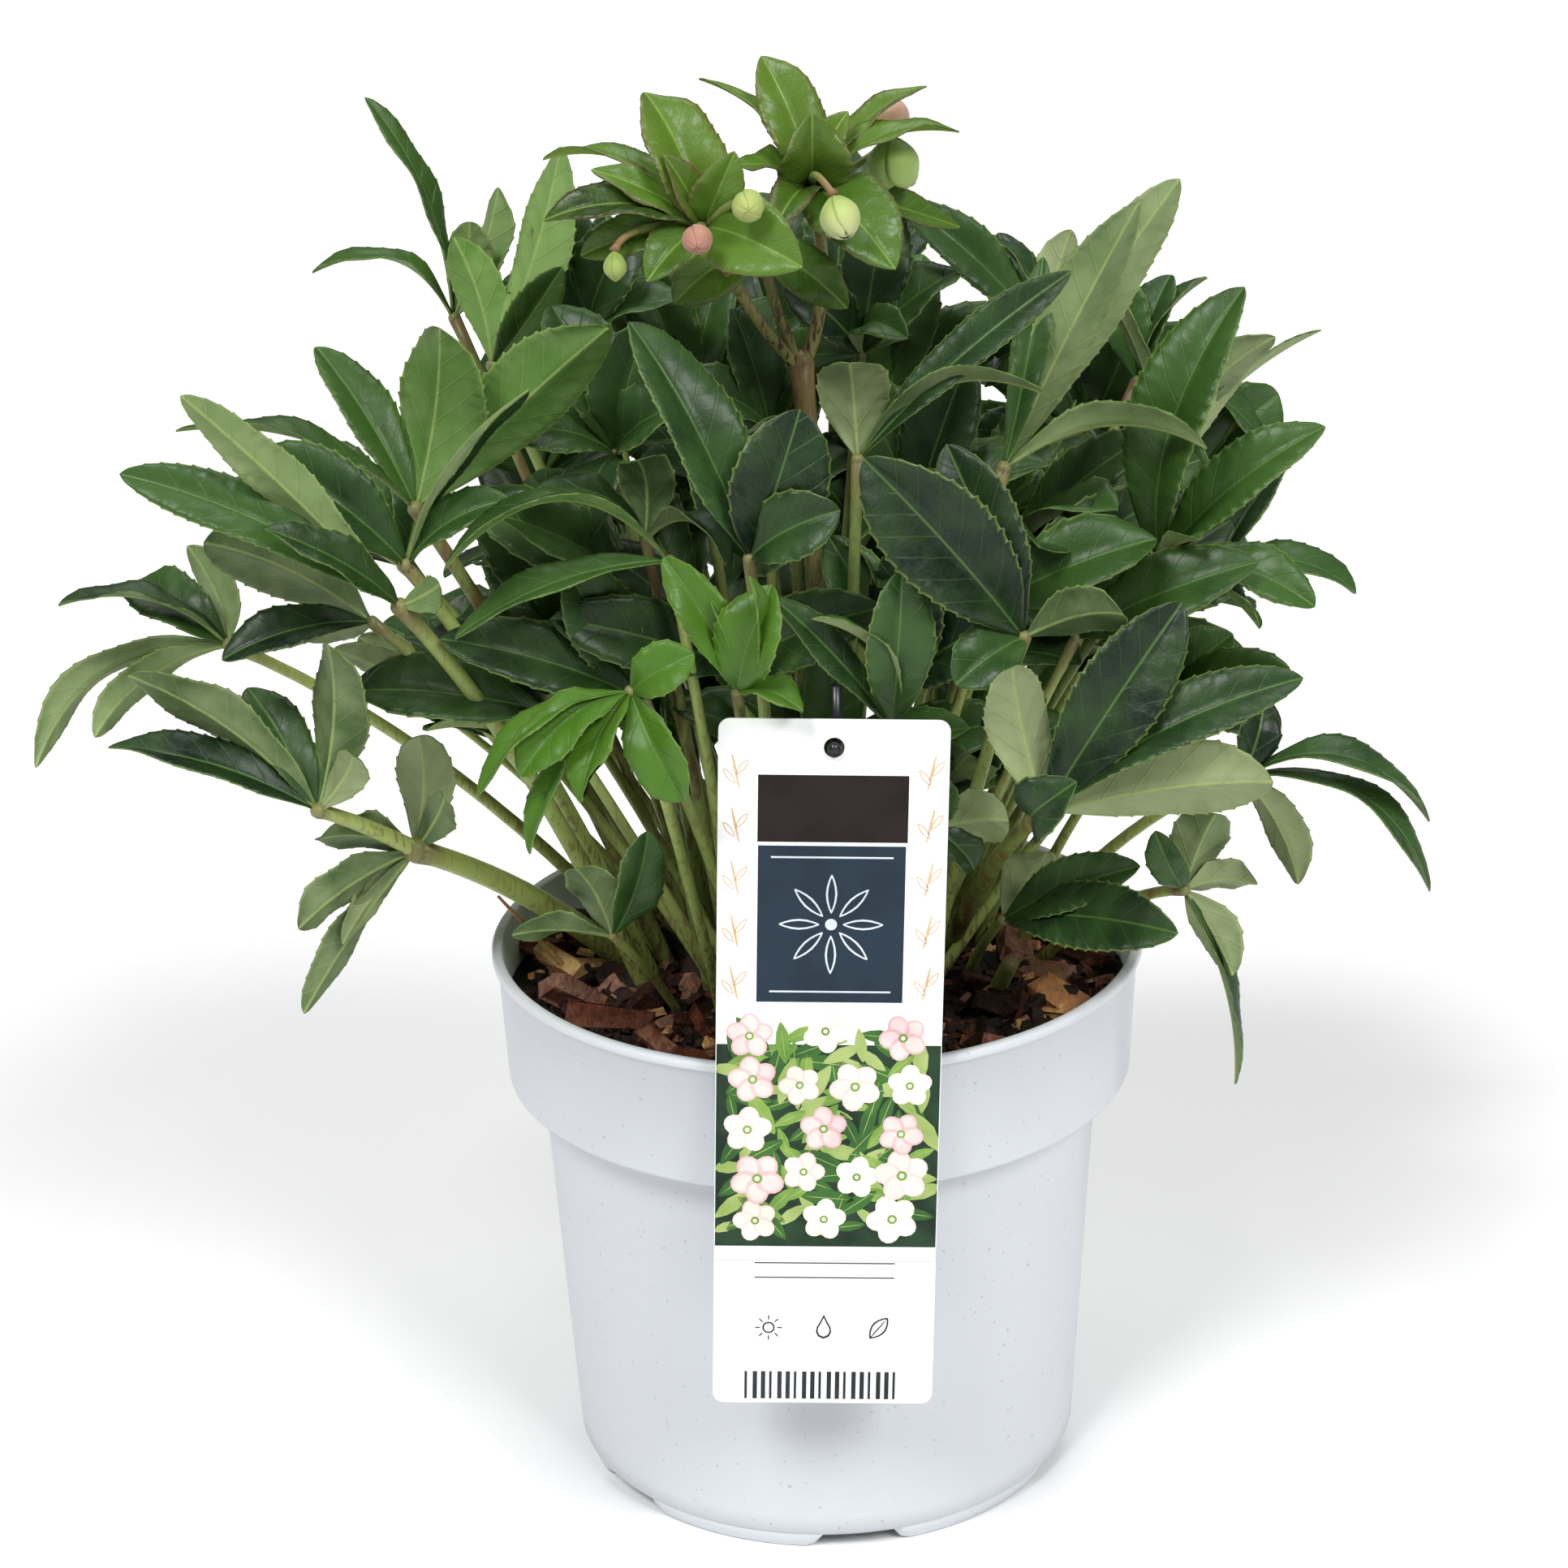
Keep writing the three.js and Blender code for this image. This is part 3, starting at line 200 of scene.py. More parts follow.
        (88, -6, 260, 22, 0, 5), (120, -2, 252, 22, -30, 5), (134, -6, 224, 20, -50, 5))),
    ("leaf_39", (-10, 10, 3.6, 4), (-16, -20, 282), (
        (-34, -30, 322, 24, 20, 4), (-8, -30, 326, 22, -10, 4), (-2, -34, 290, 20, -30, 4))),
    ("leaf_40", (-20, 48, 4, 10), (-60, 92, 300), (
        (-88, 110, 338, 22, 40, 6), (-58, 104, 356, 24, 0, 6), (-30, 120, 330, 20, -30, 6),
        (-96, 130, 300, 18, 50, 8),
        (-62, 128, 284, 20, 10, 6), (-32, 78, 276, 18, -10, 5), (-90, 84, 278, 18, 30, 5))),
    ("leaf_41", (4, 46, 4, 8), (10, 84, 320), (
        (-14, 96, 362, 22, 20, 6), (14, 100, 376, 24, 0, 6), (40, 100, 352, 20, -30, 6),
        (4, 140, 322, 18, 0, 12),
        (36, 118, 306, 20, -20, 6), (-20, 114, 300, 20, 20, 6), (18, 64, 286, 18, 0, 4),
        (-10, 66, 290, 18, 20, 4))),
    ("leaf_42", (22, 46, 4, 10), (72, 86, 296), (
        (60, 100, 348, 22, 10, 6), (96, 104, 338, 22, -30, 6), (118, 118, 298, 20, -50, 8),
        (70, 140, 290, 18, -10, 10),
        (46, 116, 276, 20, 10, 6), (92, 112, 268, 18, -20, 6), (46, 66, 278, 20, 20, 5),
        (70, 58, 270, 18, -10, 4))),
    ("leaf_43", (-38, 44, 4, 12), (-120, 50, 262), (
        (-150, 70, 296, 22, 40, 6), (-170, 46, 270, 20, 60, 8), (-156, 90, 252, 18, 50, 8),
        (-112, 68, 302, 20, 20, 6))),
    ("leaf_44", (42, 38, 4, 12), (122, 54, 252), (
        (150, 80, 280, 22, -40, 6), (164, 50, 246, 20, -60, 8), (140, 100, 236, 18, -40, 8),
        (112, 68, 294, 20, -20, 6))),
    ("leaf_45", (-10, 54, 4, 12), (-34, 116, 244), (
        (-64, 148, 262, 22, 30, 8), (-30, 160, 268, 24, 0, 8), (-2, 152, 246, 20, -20, 8),
        (-46, 110, 290, 22, 10, 5), (-16, 118, 288, 20, -10, 5), (-28, 84, 268, 18, 0, 5))),
    ("leaf_46", (16, 54, 4, 12), (50, 112, 236), (
        (28, 150, 254, 22, 10, 8), (66, 156, 250, 24, -10, 8), (92, 136, 236, 20, -40, 8),
        (38, 102, 280, 20, 10, 5), (70, 124, 280, 20, -10, 5), (46, 82, 258, 18, 0, 5))),
    ("leaf_47", (-26, 52, 3.6, 8), (-84, 92, 214), (
        (-116, 118, 232, 20, 30, 6), (-88, 138, 226, 20, 10, 6), (-128, 96, 204, 18, 50, 6),
        (-74, 92, 260, 20, 10, 5), (-100, 104, 256, 18, 30, 5))),
)
STALK_START = 136.0  # height at which a stalk starts, below the top of the soil
STALK_TAPER = 0.75  # a stalk's width at its fork over its width at its foot
# How young and bright a leaf is, where it isn't old and dark.
YOUTH = {
    "leaf_01": 0.45, "leaf_02": 0.3, "leaf_03": 0.3, "leaf_05": 0.15, "leaf_11": 0.25, "leaf_23": 1.0,
    "leaf_24": 0.95, "leaf_25": 0.2, "leaf_15": 0.1, "leaf_07": 0.1,
}

# Flowering stem: trunk and twigs (from, through, to, diameter), and the bracts at the end of each twig.
BRANCHES: tuple = (
    ((2, 6, 136), (5, 2, 250), (-1, -2, 333), 7.2),
    ((-1, -2, 331), (-14, -10, 346), (-26, -28, 376), 3.6),
    ((-1, -2, 331), (9, -2, 350), (3, -12, 383), 4),
    ((-1, -2, 331), (-9, -4, 350), (-11, -12, 368), 3.4),
)
ROSETTES: tuple = (
    ((-41, -16, 410, 22, 20, 6), (-55, -34, 393, 11, 30, 3), (-17, -40, 398, 14, 5, 3),
     (0, -50, 369, 22, -5, 6), (-36, -36, 397, 10, 20, 2), (-68, -36, 380, 14, 40, 7),
     (-59, -28, 369, 13, 20, 4), (-69, -12, 392, 13, 50, 10), (-41, -44, 365, 14, 20, 3)),
    ((-27, -2, 411, 13, 50, 6), (-10, -4, 417, 18, 20, 4), (3, -26, 405, 20, 0, 4),
     (13, -12, 403, 10, -20, 3), (43, -8, 396, 15, -50, 7), (35, 8, 406, 11, -50, 4),
     (44, 8, 367, 11, -40, 1), (-18, -18, 390, 13, 50, 3), (24, -42, 366, 23, -15, 5),
     (-8, -44, 377, 12, 20, 4)),
    ((-35, -16, 353, 18, 20, 4), (12, -18, 351, 14, -10, 4)),
)
# Biggest bark chips: x, y, length, width, tone from near black to ochre.
BIG_CHIPS: tuple = (
    (-75, 5, 20, 12, 0.95), (-70, -18, 21, 10, 0.62), (-84, 22, 16, 11, 0.5), (-60, -33, 24, 8, 0.42),
    (-50, -20, 17, 10, 0.3), (-66, 24, 18, 7, 0.2), (-44, -52, 19, 9, 0.55), (-57, -4, 15, 9, 0.12),
    (59, 11, 19, 9, 0.6), (66, -9, 22, 8, 0.68), (70, -28, 20, 9, 0.8), (52, -30, 18, 11, 0.25),
    (80, 8, 15, 9, 0.36), (48, -58, 16, 8, 0.5), (60, -48, 20, 7, 0.15), (30, 70, 18, 9, 0.6),
    (-30, 72, 20, 10, 0.4), (0, 82, 17, 8, 0.7),
)
BRACT_SPREAD = 1.06  # a bract's true width over the width of its solid
# Flowers: name, stalk from, through, base, tip, diameter.
FLOWERS: tuple = (
    ("flower_pink", (-26, -28, 376), (-27, -38, 379), (-27, -47.5, 379), (-27.4, -55, 376), 8.6),
    ("flower_green_small", (-26, -28, 376), (-18, -40, 386), (-14, -46, 386), (-14, -54, 385), 9),
    ("flower_hanging", (-26, -28, 376), (-46, -34, 380), (-49, -41, 373), (-49, -42, 365), 6.6),
    ("flower_back", (3, -12, 383), (22, 4, 388), (24, 14, 391), (26, 20, 401), 11.6),
    ("flower_bell", (3, -12, 383), (20, -6, 402), (24.6, -3, 394.6), (25.2, -4, 380.6), 15.4),
    ("flower_cream", (3, -12, 383), (2, -34, 394), (8, -41, 386), (11, -47, 376), 11.4),
)


def linear(colour: str) -> tuple[float, float, float, float]:
    """Linear colour of an sRGB hex value.

    Args:
        colour: The value as "#rrggbb".

    Returns:
        Red, green, blue and a full alpha for a socket.
    """
    parts = [int(colour[i:i + 2], 16) / 255.0 for i in (1, 3, 5)]
    red, green, blue = [p / 12.92 if p <= 0.04045 else ((p + 0.055) / 1.055) ** 2.4 for p in parts]
    return red, green, blue, 1.0


def per(size: float) -> float:
    """Scale of a pattern on Object coordinates whose marks are so many millimetres apart."""
    return 1.0 / (size * MM)


def polar(radius: float, turn: float) -> tuple[float, float]:
    """Point at a distance from the middle and an angle in degrees."""
    return radius * math.cos(math.radians(turn)), radius * math.sin(math.radians(turn))


def faces_at(verts: Iterable[BMVert]) -> list[BMFace]:
    """Faces at some corners, each once and always in the same order."""
    return list(dict.fromkeys(face for vert in verts for face in vert.link_faces))


def edges_at(verts: Iterable[BMVert]) -> list[BMEdge]:
    """Edges at some corners, each once and always in the same order."""
    return list(dict.fromkeys(edge for vert in verts for edge in vert.link_edges))


class NodeSheet:
    """The node tree of one material.

    In a MapRange node the inputs are the value, the range that is read and the range that is given; in a Mix
    node of colours 0 is the share, 6 and 7 are the colours and 2 is the output.
    """

    def __init__(self, name: str) -> None:
        """Start an empty tree.

        Args:
            name: The material's name.
        """
        self.material = bpy.data.materials.new(name)
        self.material.use_nodes = True
        self.tree = self.material.node_tree
        self.tree.nodes.clear()

    def add(self, kind: str, *inputs: object, out: int | str = 0,
            **settings: object) -> bpy.types.NodeSocket | None:
        """Add a node.

        Args:
            kind: The node type without "ShaderNode".
            *inputs: Value or output socket for each input in order, or a dict of these by name or number.
            out: The output that is wanted, by name or number.
            **settings: Properties of the node.

        Returns:
            The output, where the node has one.
        """
        node = self.tree.nodes.new("ShaderNode" + kind)
        for key, value in settings.items():
            setattr(node, key, value)
        for number, given in enumerate(inputs):
            for key, value in (given if isinstance(given, dict) else {number: given}).items():
                if isinstance(value, bpy.types.NodeSocket):
                    self.tree.links.new(value, node.inputs[key])
                else:
                    node.inputs[key].default_value = value
        return node.outputs[out] if len(node.outputs) else None

    def carried(self, name: str) -> bpy.types.NodeOutputs:
        """The three numbers of an attribute that the mesh carries."""
        return self.add("SeparateXYZ", self.add("Attribute", out="Vector", attribute_name=name)).node.outputs

    def surface(self, shader: dict) -> bpy.types.Material:
        """Close the tree with a Principled shader.

        Args:
            shader: Its inputs.

        Returns:
            The finished material.
        """
        self.add("OutputMaterial", {"Surface": self.add("BsdfPrincipled", shader)})
        return self.material


# ---- Finishes -------------------------------------------------------------------------------------------
class Face(Enum):
    """Side of a leaf that a finish covers, valued by the way its veins stand: sunk above, raised below."""

    UPPER = -1.0
    UNDER = 1.0


@dataclass(frozen=True)
class LeafSkin:
    """Leathery evergreen leaf: waxy above, matt and netted with raised veins below.

    It reads two attributes of the mesh: "blade" holds millimetres along the midrib, millimetres across from
    it and the share of the way to the margin, and "tint" holds a random tone, youth and how purple the margin
    is.
    """

    name: str
    face: Face
    deep: str
    light: str
    young: str
    vein: str
    margin: str
    roughness: float
    vein_spacing: float = 8.2  # millimetres between side veins
    vein_slant: float = 1.15  # how far a side vein runs forward on its way to the margin
    vein_strength: float = 0.16
    midrib: float = 0.55  # half the width of the midrib in millimetres
    midrib_strength: float = 0.55
    net: float = 1.6  # millimetres across a mesh of the finest veins, which is drawn coarser so that it shows
    net_strength: float = 0.05
    patch: float = 14.0  # millimetres across a patch of lighter or darker green
    wander: float = 2.2  # millimetres by which a patch shifts the side veins
    side_depth: float = 0.8  # depth of a side vein, of the midrib and of the net, as shares of the relief
    midrib_depth: float = 0.9
    net_depth: float = 0.1
    relief: float = 0.4  # millimetres
    blush: str = "#6b3440"  # purple that a margin flushes to
    specular: float = 0.36
    coat: float = 0.05

    def build(self) -> bpy.types.Material:
        """Make the material."""
        sheet = NodeSheet(self.name)
        place = sheet.add("TexCoord", out="Object")
        blade, tint = sheet.carried("blade"), sheet.carried("tint")
        across = sheet.add("Math", blade["Y"], operation="ABSOLUTE")
        mottle = sheet.add("TexNoise", place, {"Scale": per(self.patch), "Detail": 3.0})
        wobble = sheet.add("Math", mottle, self.wander, operation="MULTIPLY")
        slant = sheet.add("Math", across, -self.vein_slant, blade["X"], operation="MULTIPLY_ADD")
        bent = sheet.add("Math", slant, wobble, operation="ADD")
        phase = sheet.add("Math", bent, self.vein_spacing, operation="DIVIDE")
        apart = sheet.add("Math", phase, 0.5, operation="PINGPONG")
        side_vein = sheet.add("MapRange", apart, 0.0, 0.05, 1.0, 0.0, interpolation_type="SMOOTHSTEP")
        midrib = sheet.add("MapRange", across, 0.15, self.midrib, 1.0, 0.0, interpolation_type="SMOOTHSTEP")
        net = sheet.add("TexVoronoi", place, {"Scale": per(self.net)}, out="Distance",
                        feature="DISTANCE_TO_EDGE")
        net_line = sheet.add("MapRange", net, 0.0, 0.12, 1.0, 0.0)
        tone = sheet.add("Math", tint["X"], 0.7, mottle, operation="MULTIPLY_ADD")
        tone = sheet.add("MapRange", tone, 0.45, 1.1, 0.0, 1.0)
        colour = sheet.add("Mix", tone, {6: linear(self.deep), 7: linear(self.light)}, out=2,
                           data_type="RGBA")
        colour = sheet.add("Mix", tint["Y"], {6: colour, 7: linear(self.young)}, out=2, data_type="RGBA")
        lines = sheet.add("Math", side_vein, self.vein_strength, operation="MULTIPLY")
        fine = sheet.add("Math", net_line, self.net_strength, lines, operation="MULTIPLY_ADD")
        main = sheet.add("Math", midrib, self.midrib_strength, operation="MULTIPLY")
        most = sheet.add("Math", fine, main, operation="MAXIMUM", use_clamp=True)
        edge = sheet.add("MapRange", blade["Z"], 0.93, 1.0, 0.0, 0.5)
        blush = sheet.add("MapRange", blade["Z"], 0.72, 1.0, 0.0, 0.85)
        blush = sheet.add("Math", blush, tint["Z"], operation="MULTIPLY")
        for share, paint in ((most, self.vein), (edge, self.margin), (blush, self.blush)):
            colour = sheet.add("Mix", share, {6: colour, 7: linear(paint)}, out=2, data_type="RGBA")
        way = self.face.value
        relief = sheet.add("Math", side_vein, self.side_depth * way, operation="MULTIPLY")
        for line, depth in ((midrib, self.midrib_depth), (net_line, self.net_depth)):
            relief = sheet.add("Math", line, depth * way, relief, operation="MULTIPLY_ADD")
        bump = sheet.add("Bump", {"Height": relief, "Strength": 0.45, "Distance": self.relief * MM})
        gloss = sheet.add("MapRange", mottle, 0.2, 0.8, self.roughness - 0.05, self.roughness + 0.08)
        return sheet.surface({"Base Color": colour, "Roughness": gloss, "Normal": bump, "IOR": 1.45,
                              "Specular IOR Level": self.specular, "Coat Weight": self.coat,
                              "Coat Roughness": 0.22})


@dataclass(frozen=True)
class StalkSkin:
    """Fleshy stalk, smooth and slightly waxy, speckled and flushed where it ages.

    "blade" holds millimetres along the stalk and, in its third number, the share of its length.
    """

    name: str
    pale: str
    green: str
    speck: str
    flush: str
    speck_share: float = 0.65
    flush_from: float = 0.86
    aged: float = 0.75  # how far the flush covers the end
    roughness: float = 0.42
    streak: float = 3.8  # millimetres across a streak and across a dash
    dash: float = 1.1
    drawn_out: float = 0.22  # how much both are drawn out upward
    relief: float = 0.25

    def build(self) -> bpy.types.Material:
        """Make the material."""
        sheet = NodeSheet(self.name)
        place = sheet.add("TexCoord", out="Object")
        blade, tint = sheet.carried("blade"), sheet.carried("tint")
        long = sheet.add("Mapping", place, {"Scale": (1.0, 1.0, self.drawn_out)})
        streak = sheet.add("TexNoise", long, {"Scale": per(self.streak), "Detail": 2.0})
        base = sheet.add("Math", streak, tint["X"], operation="ADD")
        base = sheet.add("MapRange", base, 0.4, 1.4, 0.0, 1.0)
        colour = sheet.add("Mix", base, {6: linear(self.green), 7: linear(self.pale)}, out=2,
                           data_type="RGBA")
        dots = sheet.add("TexNoise", long, {"Scale": per(self.dash), "Detail": 1.0})
        dots = sheet.add("MapRange", dots, 0.53, 0.62, 0.0, self.speck_share)
        low = sheet.add("MapRange", blade["Z"], 0.15, 0.75, 1.0, 0.35)
        dots = sheet.add("Math", dots, low, operation="MULTIPLY")
        red = sheet.add("MapRange", streak, 0.38, 0.62, 0.0, 0.8)
        red = sheet.add("Math", red, tint["Y"], operation="MULTIPLY")
        flush = sheet.add("MapRange", blade["Z"], self.flush_from, 1.02, 0.0, self.aged,
                          interpolation_type="SMOOTHSTEP")
        for share, paint in ((red, self.speck), (dots, self.speck), (flush, self.flush)):
            colour = sheet.add("Mix", share, {6: colour, 7: linear(paint)}, out=2, data_type="RGBA")
        bump = sheet.add("Bump", {"Height": streak, "Strength": 0.3, "Distance": self.relief * MM})
        return sheet.surface({"Base Color": colour, "Roughness": self.roughness, "Normal": bump, "IOR": 1.42})


@dataclass(frozen=True)
class SepalSkin:
    """Soft matt sepal with fine veins from its base to its tip and a paler or flushed rim."""

    name: str
    heart: str
    rim: str
    vein: str
    veins: float = 9.0  # veins across half a sepal
    wander: float = 2.0  # millimetres over which a vein wanders

    def build(self) -> bpy.types.Material:
        """Make the material."""
        sheet = NodeSheet(self.name)
        place = sheet.add("TexCoord", out="Object")
        blade = sheet.carried("blade")
        noise = sheet.add("TexNoise", place, {"Scale": per(self.wander), "Detail": 2.0})
        side = sheet.add("Math", blade["Y"], self.veins, operation="MULTIPLY")
        side = sheet.add("Math", noise, 0.8, side, operation="MULTIPLY_ADD")
        line = sheet.add("Math", side, 0.5, operation="PINGPONG")
        line = sheet.add("MapRange", line, 0.0, 0.14, 0.55, 0.0)
        far = sheet.add("MapRange", blade["X"], 0.2, 1.0, 0.0, 1.0)
        colour = sheet.add("Mix", far, {6: linear(self.heart), 7: linear(self.rim)}, out=2, data_type="RGBA")
        colour = sheet.add("Mix", line, {6: colour, 7: linear(self.vein)}, out=2, data_type="RGBA")
        bump = sheet.add("Bump", {"Height": line, "Strength": 0.25, "Distance": 0.2 * MM})
        return sheet.surface({"Base Color": colour, "Roughness": 0.52, "Normal": bump, "Sheen Weight": 0.25,
                              "Subsurface Weight": 0.12,
                              "Subsurface Radius": (0.9 * MM, 0.8 * MM, 0.4 * MM)})


@dataclass(frozen=True)
class MouldedPlastic:
    """Injection-moulded polypropylene: satin, with faint flow marks, dust specks and handling scuffs."""

    name: str
    colour: str
    speck: str
    roughness: float
    speck_share: float = 0.5
    dust: str = "#c9c6bd"
    cloud: float = 70.0  # millimetres across a dusty patch
    grit: float = 1.6  # millimetres from speck to speck
    scuff: float = 1.9  # millimetres across a scuff, drawn out to eight times that
    grain: float = 0.55  # millimetres across the mould's grain, drawn coarser than it is so that it shows

    def build(self) -> bpy.types.Material:
        """Make the material."""
        sheet = NodeSheet(self.name)
        place = sheet.add("TexCoord", out="Object")
        cloud = sheet.add("TexNoise", place, {"Scale": per(self.cloud), "Detail": 4.0})
        shade = sheet.add("MapRange", cloud, 0.35, 0.75, 0.0, 0.35)
        colour = sheet.add("Mix", shade, {6: linear(self.colour), 7: linear(self.dust)}, out=2,
                           data_type="RGBA")
        grit = sheet.add("TexNoise", place, {"Scale": per(self.grit), "Detail": 1.0})
        grit = sheet.add("MapRange", grit, 0.735, 0.76, 0.0, self.speck_share)
        colour = sheet.add("Mix", grit, {6: colour, 7: linear(self.speck)}, out=2, data_type="RGBA")
        wide = sheet.add("Mapping", place, {"Scale": (0.12, 0.12, 1.0), "Rotation": (0.3, 0.2, 0.0)})
        scuff = sheet.add("TexNoise", wide, {"Scale": per(self.scuff), "Detail": 1.0})
        scuff = sheet.add("MapRange", scuff, 0.68, 0.74, 0.0, 0.3)
        grain = sheet.add("TexNoise", place, {"Scale": per(self.grain), "Detail": 1.0})
        relief = sheet.add("Math", scuff, 0.6, grain, operation="MULTIPLY_ADD")
        bump = sheet.add("Bump", {"Height": relief, "Strength": 0.12, "Distance": 0.15 * MM})
        gloss = sheet.add("Math", scuff, 0.4, self.roughness, operation="MULTIPLY_ADD")
        return sheet.surface({"Base Color": colour, "Roughness": gloss, "Normal": bump, "IOR": 1.49,
                              "Subsurface Weight": 0.06,
                              "Subsurface Radius": (1.5 * MM, 1.5 * MM, 1.5 * MM)})


@dataclass(frozen=True)
class Bark:
    """Damp pine bark: fibrous broken faces from near black to ochre, by the chip's own tint."""

    name: str
    tones: tuple[tuple[float, str], ...]
    roughness: float = 0.8
    fibre: float = 2.4  # millimetres from fibre to fibre
    drawn_out: float = 0.35  # how much the fibres are drawn out
    relief: float = 1.4  # millimetres

    def build(self) -> bpy.types.Material:
        """Make the material."""
        sheet = NodeSheet(self.name)
        place = sheet.add("TexCoord", out="Object")
        drawn = sheet.add("Mapping", place, {"Scale": (1.0, self.drawn_out, 1.0)})
        fibre = sheet.add("TexNoise", drawn, {"Scale": per(self.fibre), "Detail": 6.0, "Roughness": 0.65})
        mixed = sheet.add("Math", fibre, 0.7, sheet.carried("tint")["X"], operation="MULTIPLY_ADD")
        mixed = sheet.add("Math", mixed, 0.35, operation="SUBTRACT", use_clamp=True)
        colour = sheet.add("ValToRGB", mixed)
        stops = colour.node.color_ramp.elements
        while len(stops) < len(self.tones):
            stops.new(0.5)
        for stop, (position, tone) in zip(stops, self.tones):
            stop.position = position
            stop.color = linear(tone)
        bump = sheet.add("Bump", {"Height": fibre, "Strength": 1.0, "Distance": self.relief * MM})
        return sheet.surface({"Base Color": colour, "Roughness": self.roughness, "Normal": bump, "IOR": 1.4})


@dataclass(frozen=True)
class PrintedCard:
    """Laminated card: smooth and satin, its ink a flat colour with a breath of unevenness."""

    name: str
    ink: str
    second: str
    patch: float = 11.0  # millimetres across an uneven patch
    roughness: float = 0.45
    grain: float = 0.7  # millimetres across the card's grain, drawn coarser than it is so that it shows

    def build(self) -> bpy.types.Material:
        """Make the material."""
        sheet = NodeSheet(self.name)
        place = sheet.add("TexCoord", out="Object")
        patch = sheet.add("TexNoise", place, {"Scale": per(self.patch), "Detail": 2.0})
        share = sheet.add("MapRange", patch, 0.38, 0.62, 0.0, 1.0)
        colour = sheet.add("Mix", share, {6: linear(self.ink), 7: linear(self.second)}, out=2,
                           data_type="RGBA")
        grain = sheet.add("TexNoise", place, {"Scale": per(self.grain)})
        bump = sheet.add("Bump", {"Height": grain, "Strength": 0.05, "Distance": 0.1 * MM})
        return sheet.surface({"Base Color": colour, "Roughness": self.roughness, "Normal": bump, "IOR": 1.45,
                              "Specular IOR Level": 0.3})


# Living leaf, its upper face coated with wax: deep green with a broad satin sheen and sunk pale veins.
UPPER = LeafSkin("leaf upper, waxy", Face.UPPER, "#0a1e10", "#355424", "#476f1b", "#5b803c", "#8ea24d", 0.41)
# Its underside has no wax: pale grey-green and matt, with the midrib standing out.
UNDER = LeafSkin("leaf underside, matt", Face.UNDER, "#496138", "#8f9c70", "#66a02c", "#9fb368", "#a4b464",
                 0.52, vein_strength=0.2, midrib=0.7, midrib_strength=0.6, specular=0.26, coat=0.0)
# Bracts are thinner and younger leaf: brighter and yellower, some flushed purple at the margin.
BRACT_UPPER = LeafSkin("bract upper, waxy", Face.UPPER, "#10290a", "#4a6d22", "#67882a", "#86a548", "#7a5648",
                       0.34, vein_spacing=5.0, vein_strength=0.2)
BRACT_UNDER = LeafSkin("bract underside, matt", Face.UNDER, "#55762c", "#819f48", "#90ae46", "#a9c060",
                       "#8a6a52", 0.5, vein_spacing=5.0, vein_strength=0.35, specular=0.26, coat=0.0)
# The horny edge of a blade: a thin dull yellow-green line.
MARGIN = PrintedCard("leaf margin, horny", "#6b8440", "#3f5a2a", 3.3, 0.55)
# Juicy leaf stalk: pale yellow-green with a soft sheen, dashed with red-brown and darker at its ends.
PETIOLE = StalkSkin("leaf stalk, fleshy", "#a9ba68", "#80954d", "#6d3a2c", "#5c3a34")
# Woodier flower stem: duller, speckled all over and brown-red where it branches.
TRUNK_SKIN = StalkSkin("flower stem, speckled", "#a09a62", "#77793f", "#471a20", "#6b3b31", 1.0, 0.55,
                       aged=0.55)
# Thin flower stalks, flushed with red-brown toward the flower.
PEDICEL_SKIN = StalkSkin("flower stalk, flushed", "#93a55a", "#7a8f4a", "#6b3a3a", "#8a5148", 0.5, 0.3)
# Sepals, soft and matt: they let a little light through, which takes the edge off their shadows.
PINK = SepalSkin("sepal, pink bud", "#a17a5c", "#bb8472", "#93564a")
LIME = SepalSkin("sepal, lime bud", "#8aa347", "#b4bd6c", "#7c9640")
CREAM = SepalSkin("sepal, cream", "#9db352", "#d3d79a", "#8aa348")
GREEN = SepalSkin("sepal, green bell", "#8cab4c", "#a6bf6c", "#6b8c3c")
ROSE = SepalSkin("sepal, rose back", "#b79a78", "#c08c80", "#9c5f58")
# Injection-moulded polypropylene: an even cool pale grey with a soft satin shine and a few dust specks.
POT_PLASTIC = MouldedPlastic("pot, polypropylene", "#d2d6db", "#8d8a84", 0.42, 0.45, "#c6cace")
# The same plastic dyed black: nearly black with small sharp highlights.
STAKE_PLASTIC = MouldedPlastic("stake, black plastic", "#17181a", "#3a3a3a", 0.32, 0.2, "#242426")
# Damp peat: nearly black and dull, so that the chips stand out from it.
SOIL_BARK = Bark("soil, peat and bark", ((0.0, "#0a0605"), (0.5, "#1c110d"), (1.0, "#3a271e")), 0.95, 3.3)
# Broken pine bark: red-brown, the dampest chips near black and the freshest breaks ochre, with a faint shine.
CHIP_BARK = Bark("bark chips", ((0.0, "#0e0907"), (0.3, "#341b12"), (0.5, "#6a3722"), (0.68, "#8f6a58"),
                                (0.82, "#b07744"), (1.0, "#d8b076")), 0.5)
# Dead dry stem: pale straw yellow, fibrous and matt.
DRY_STRAW = Bark("straw, dry", ((0.0, "#8a6a3c"), (0.5, "#b89458"), (1.0, "#d8bd85")), 0.7, 1.4)


# ---- Shaping tools --------------------------------------------------------------------------------------
@dataclass(frozen=True)
class Bend:
    """Curve from a start to an end, pulled toward a third point."""

    start: Vector
    through: Vector
    end: Vector

    def at(self, share: float) -> Vector:
        """Point at a share of the curve."""
        rest = 1.0 - share
        return self.start * (rest * rest) + self.through * (2.0 * rest * share) + self.end * (share * share)

    def heading(self, share: float) -> Vector:
        """Unit tangent at a share of the curve."""
        run = (self.through - self.start) * (1.0 - share) + (self.end - self.through) * share
        return run.normalized()


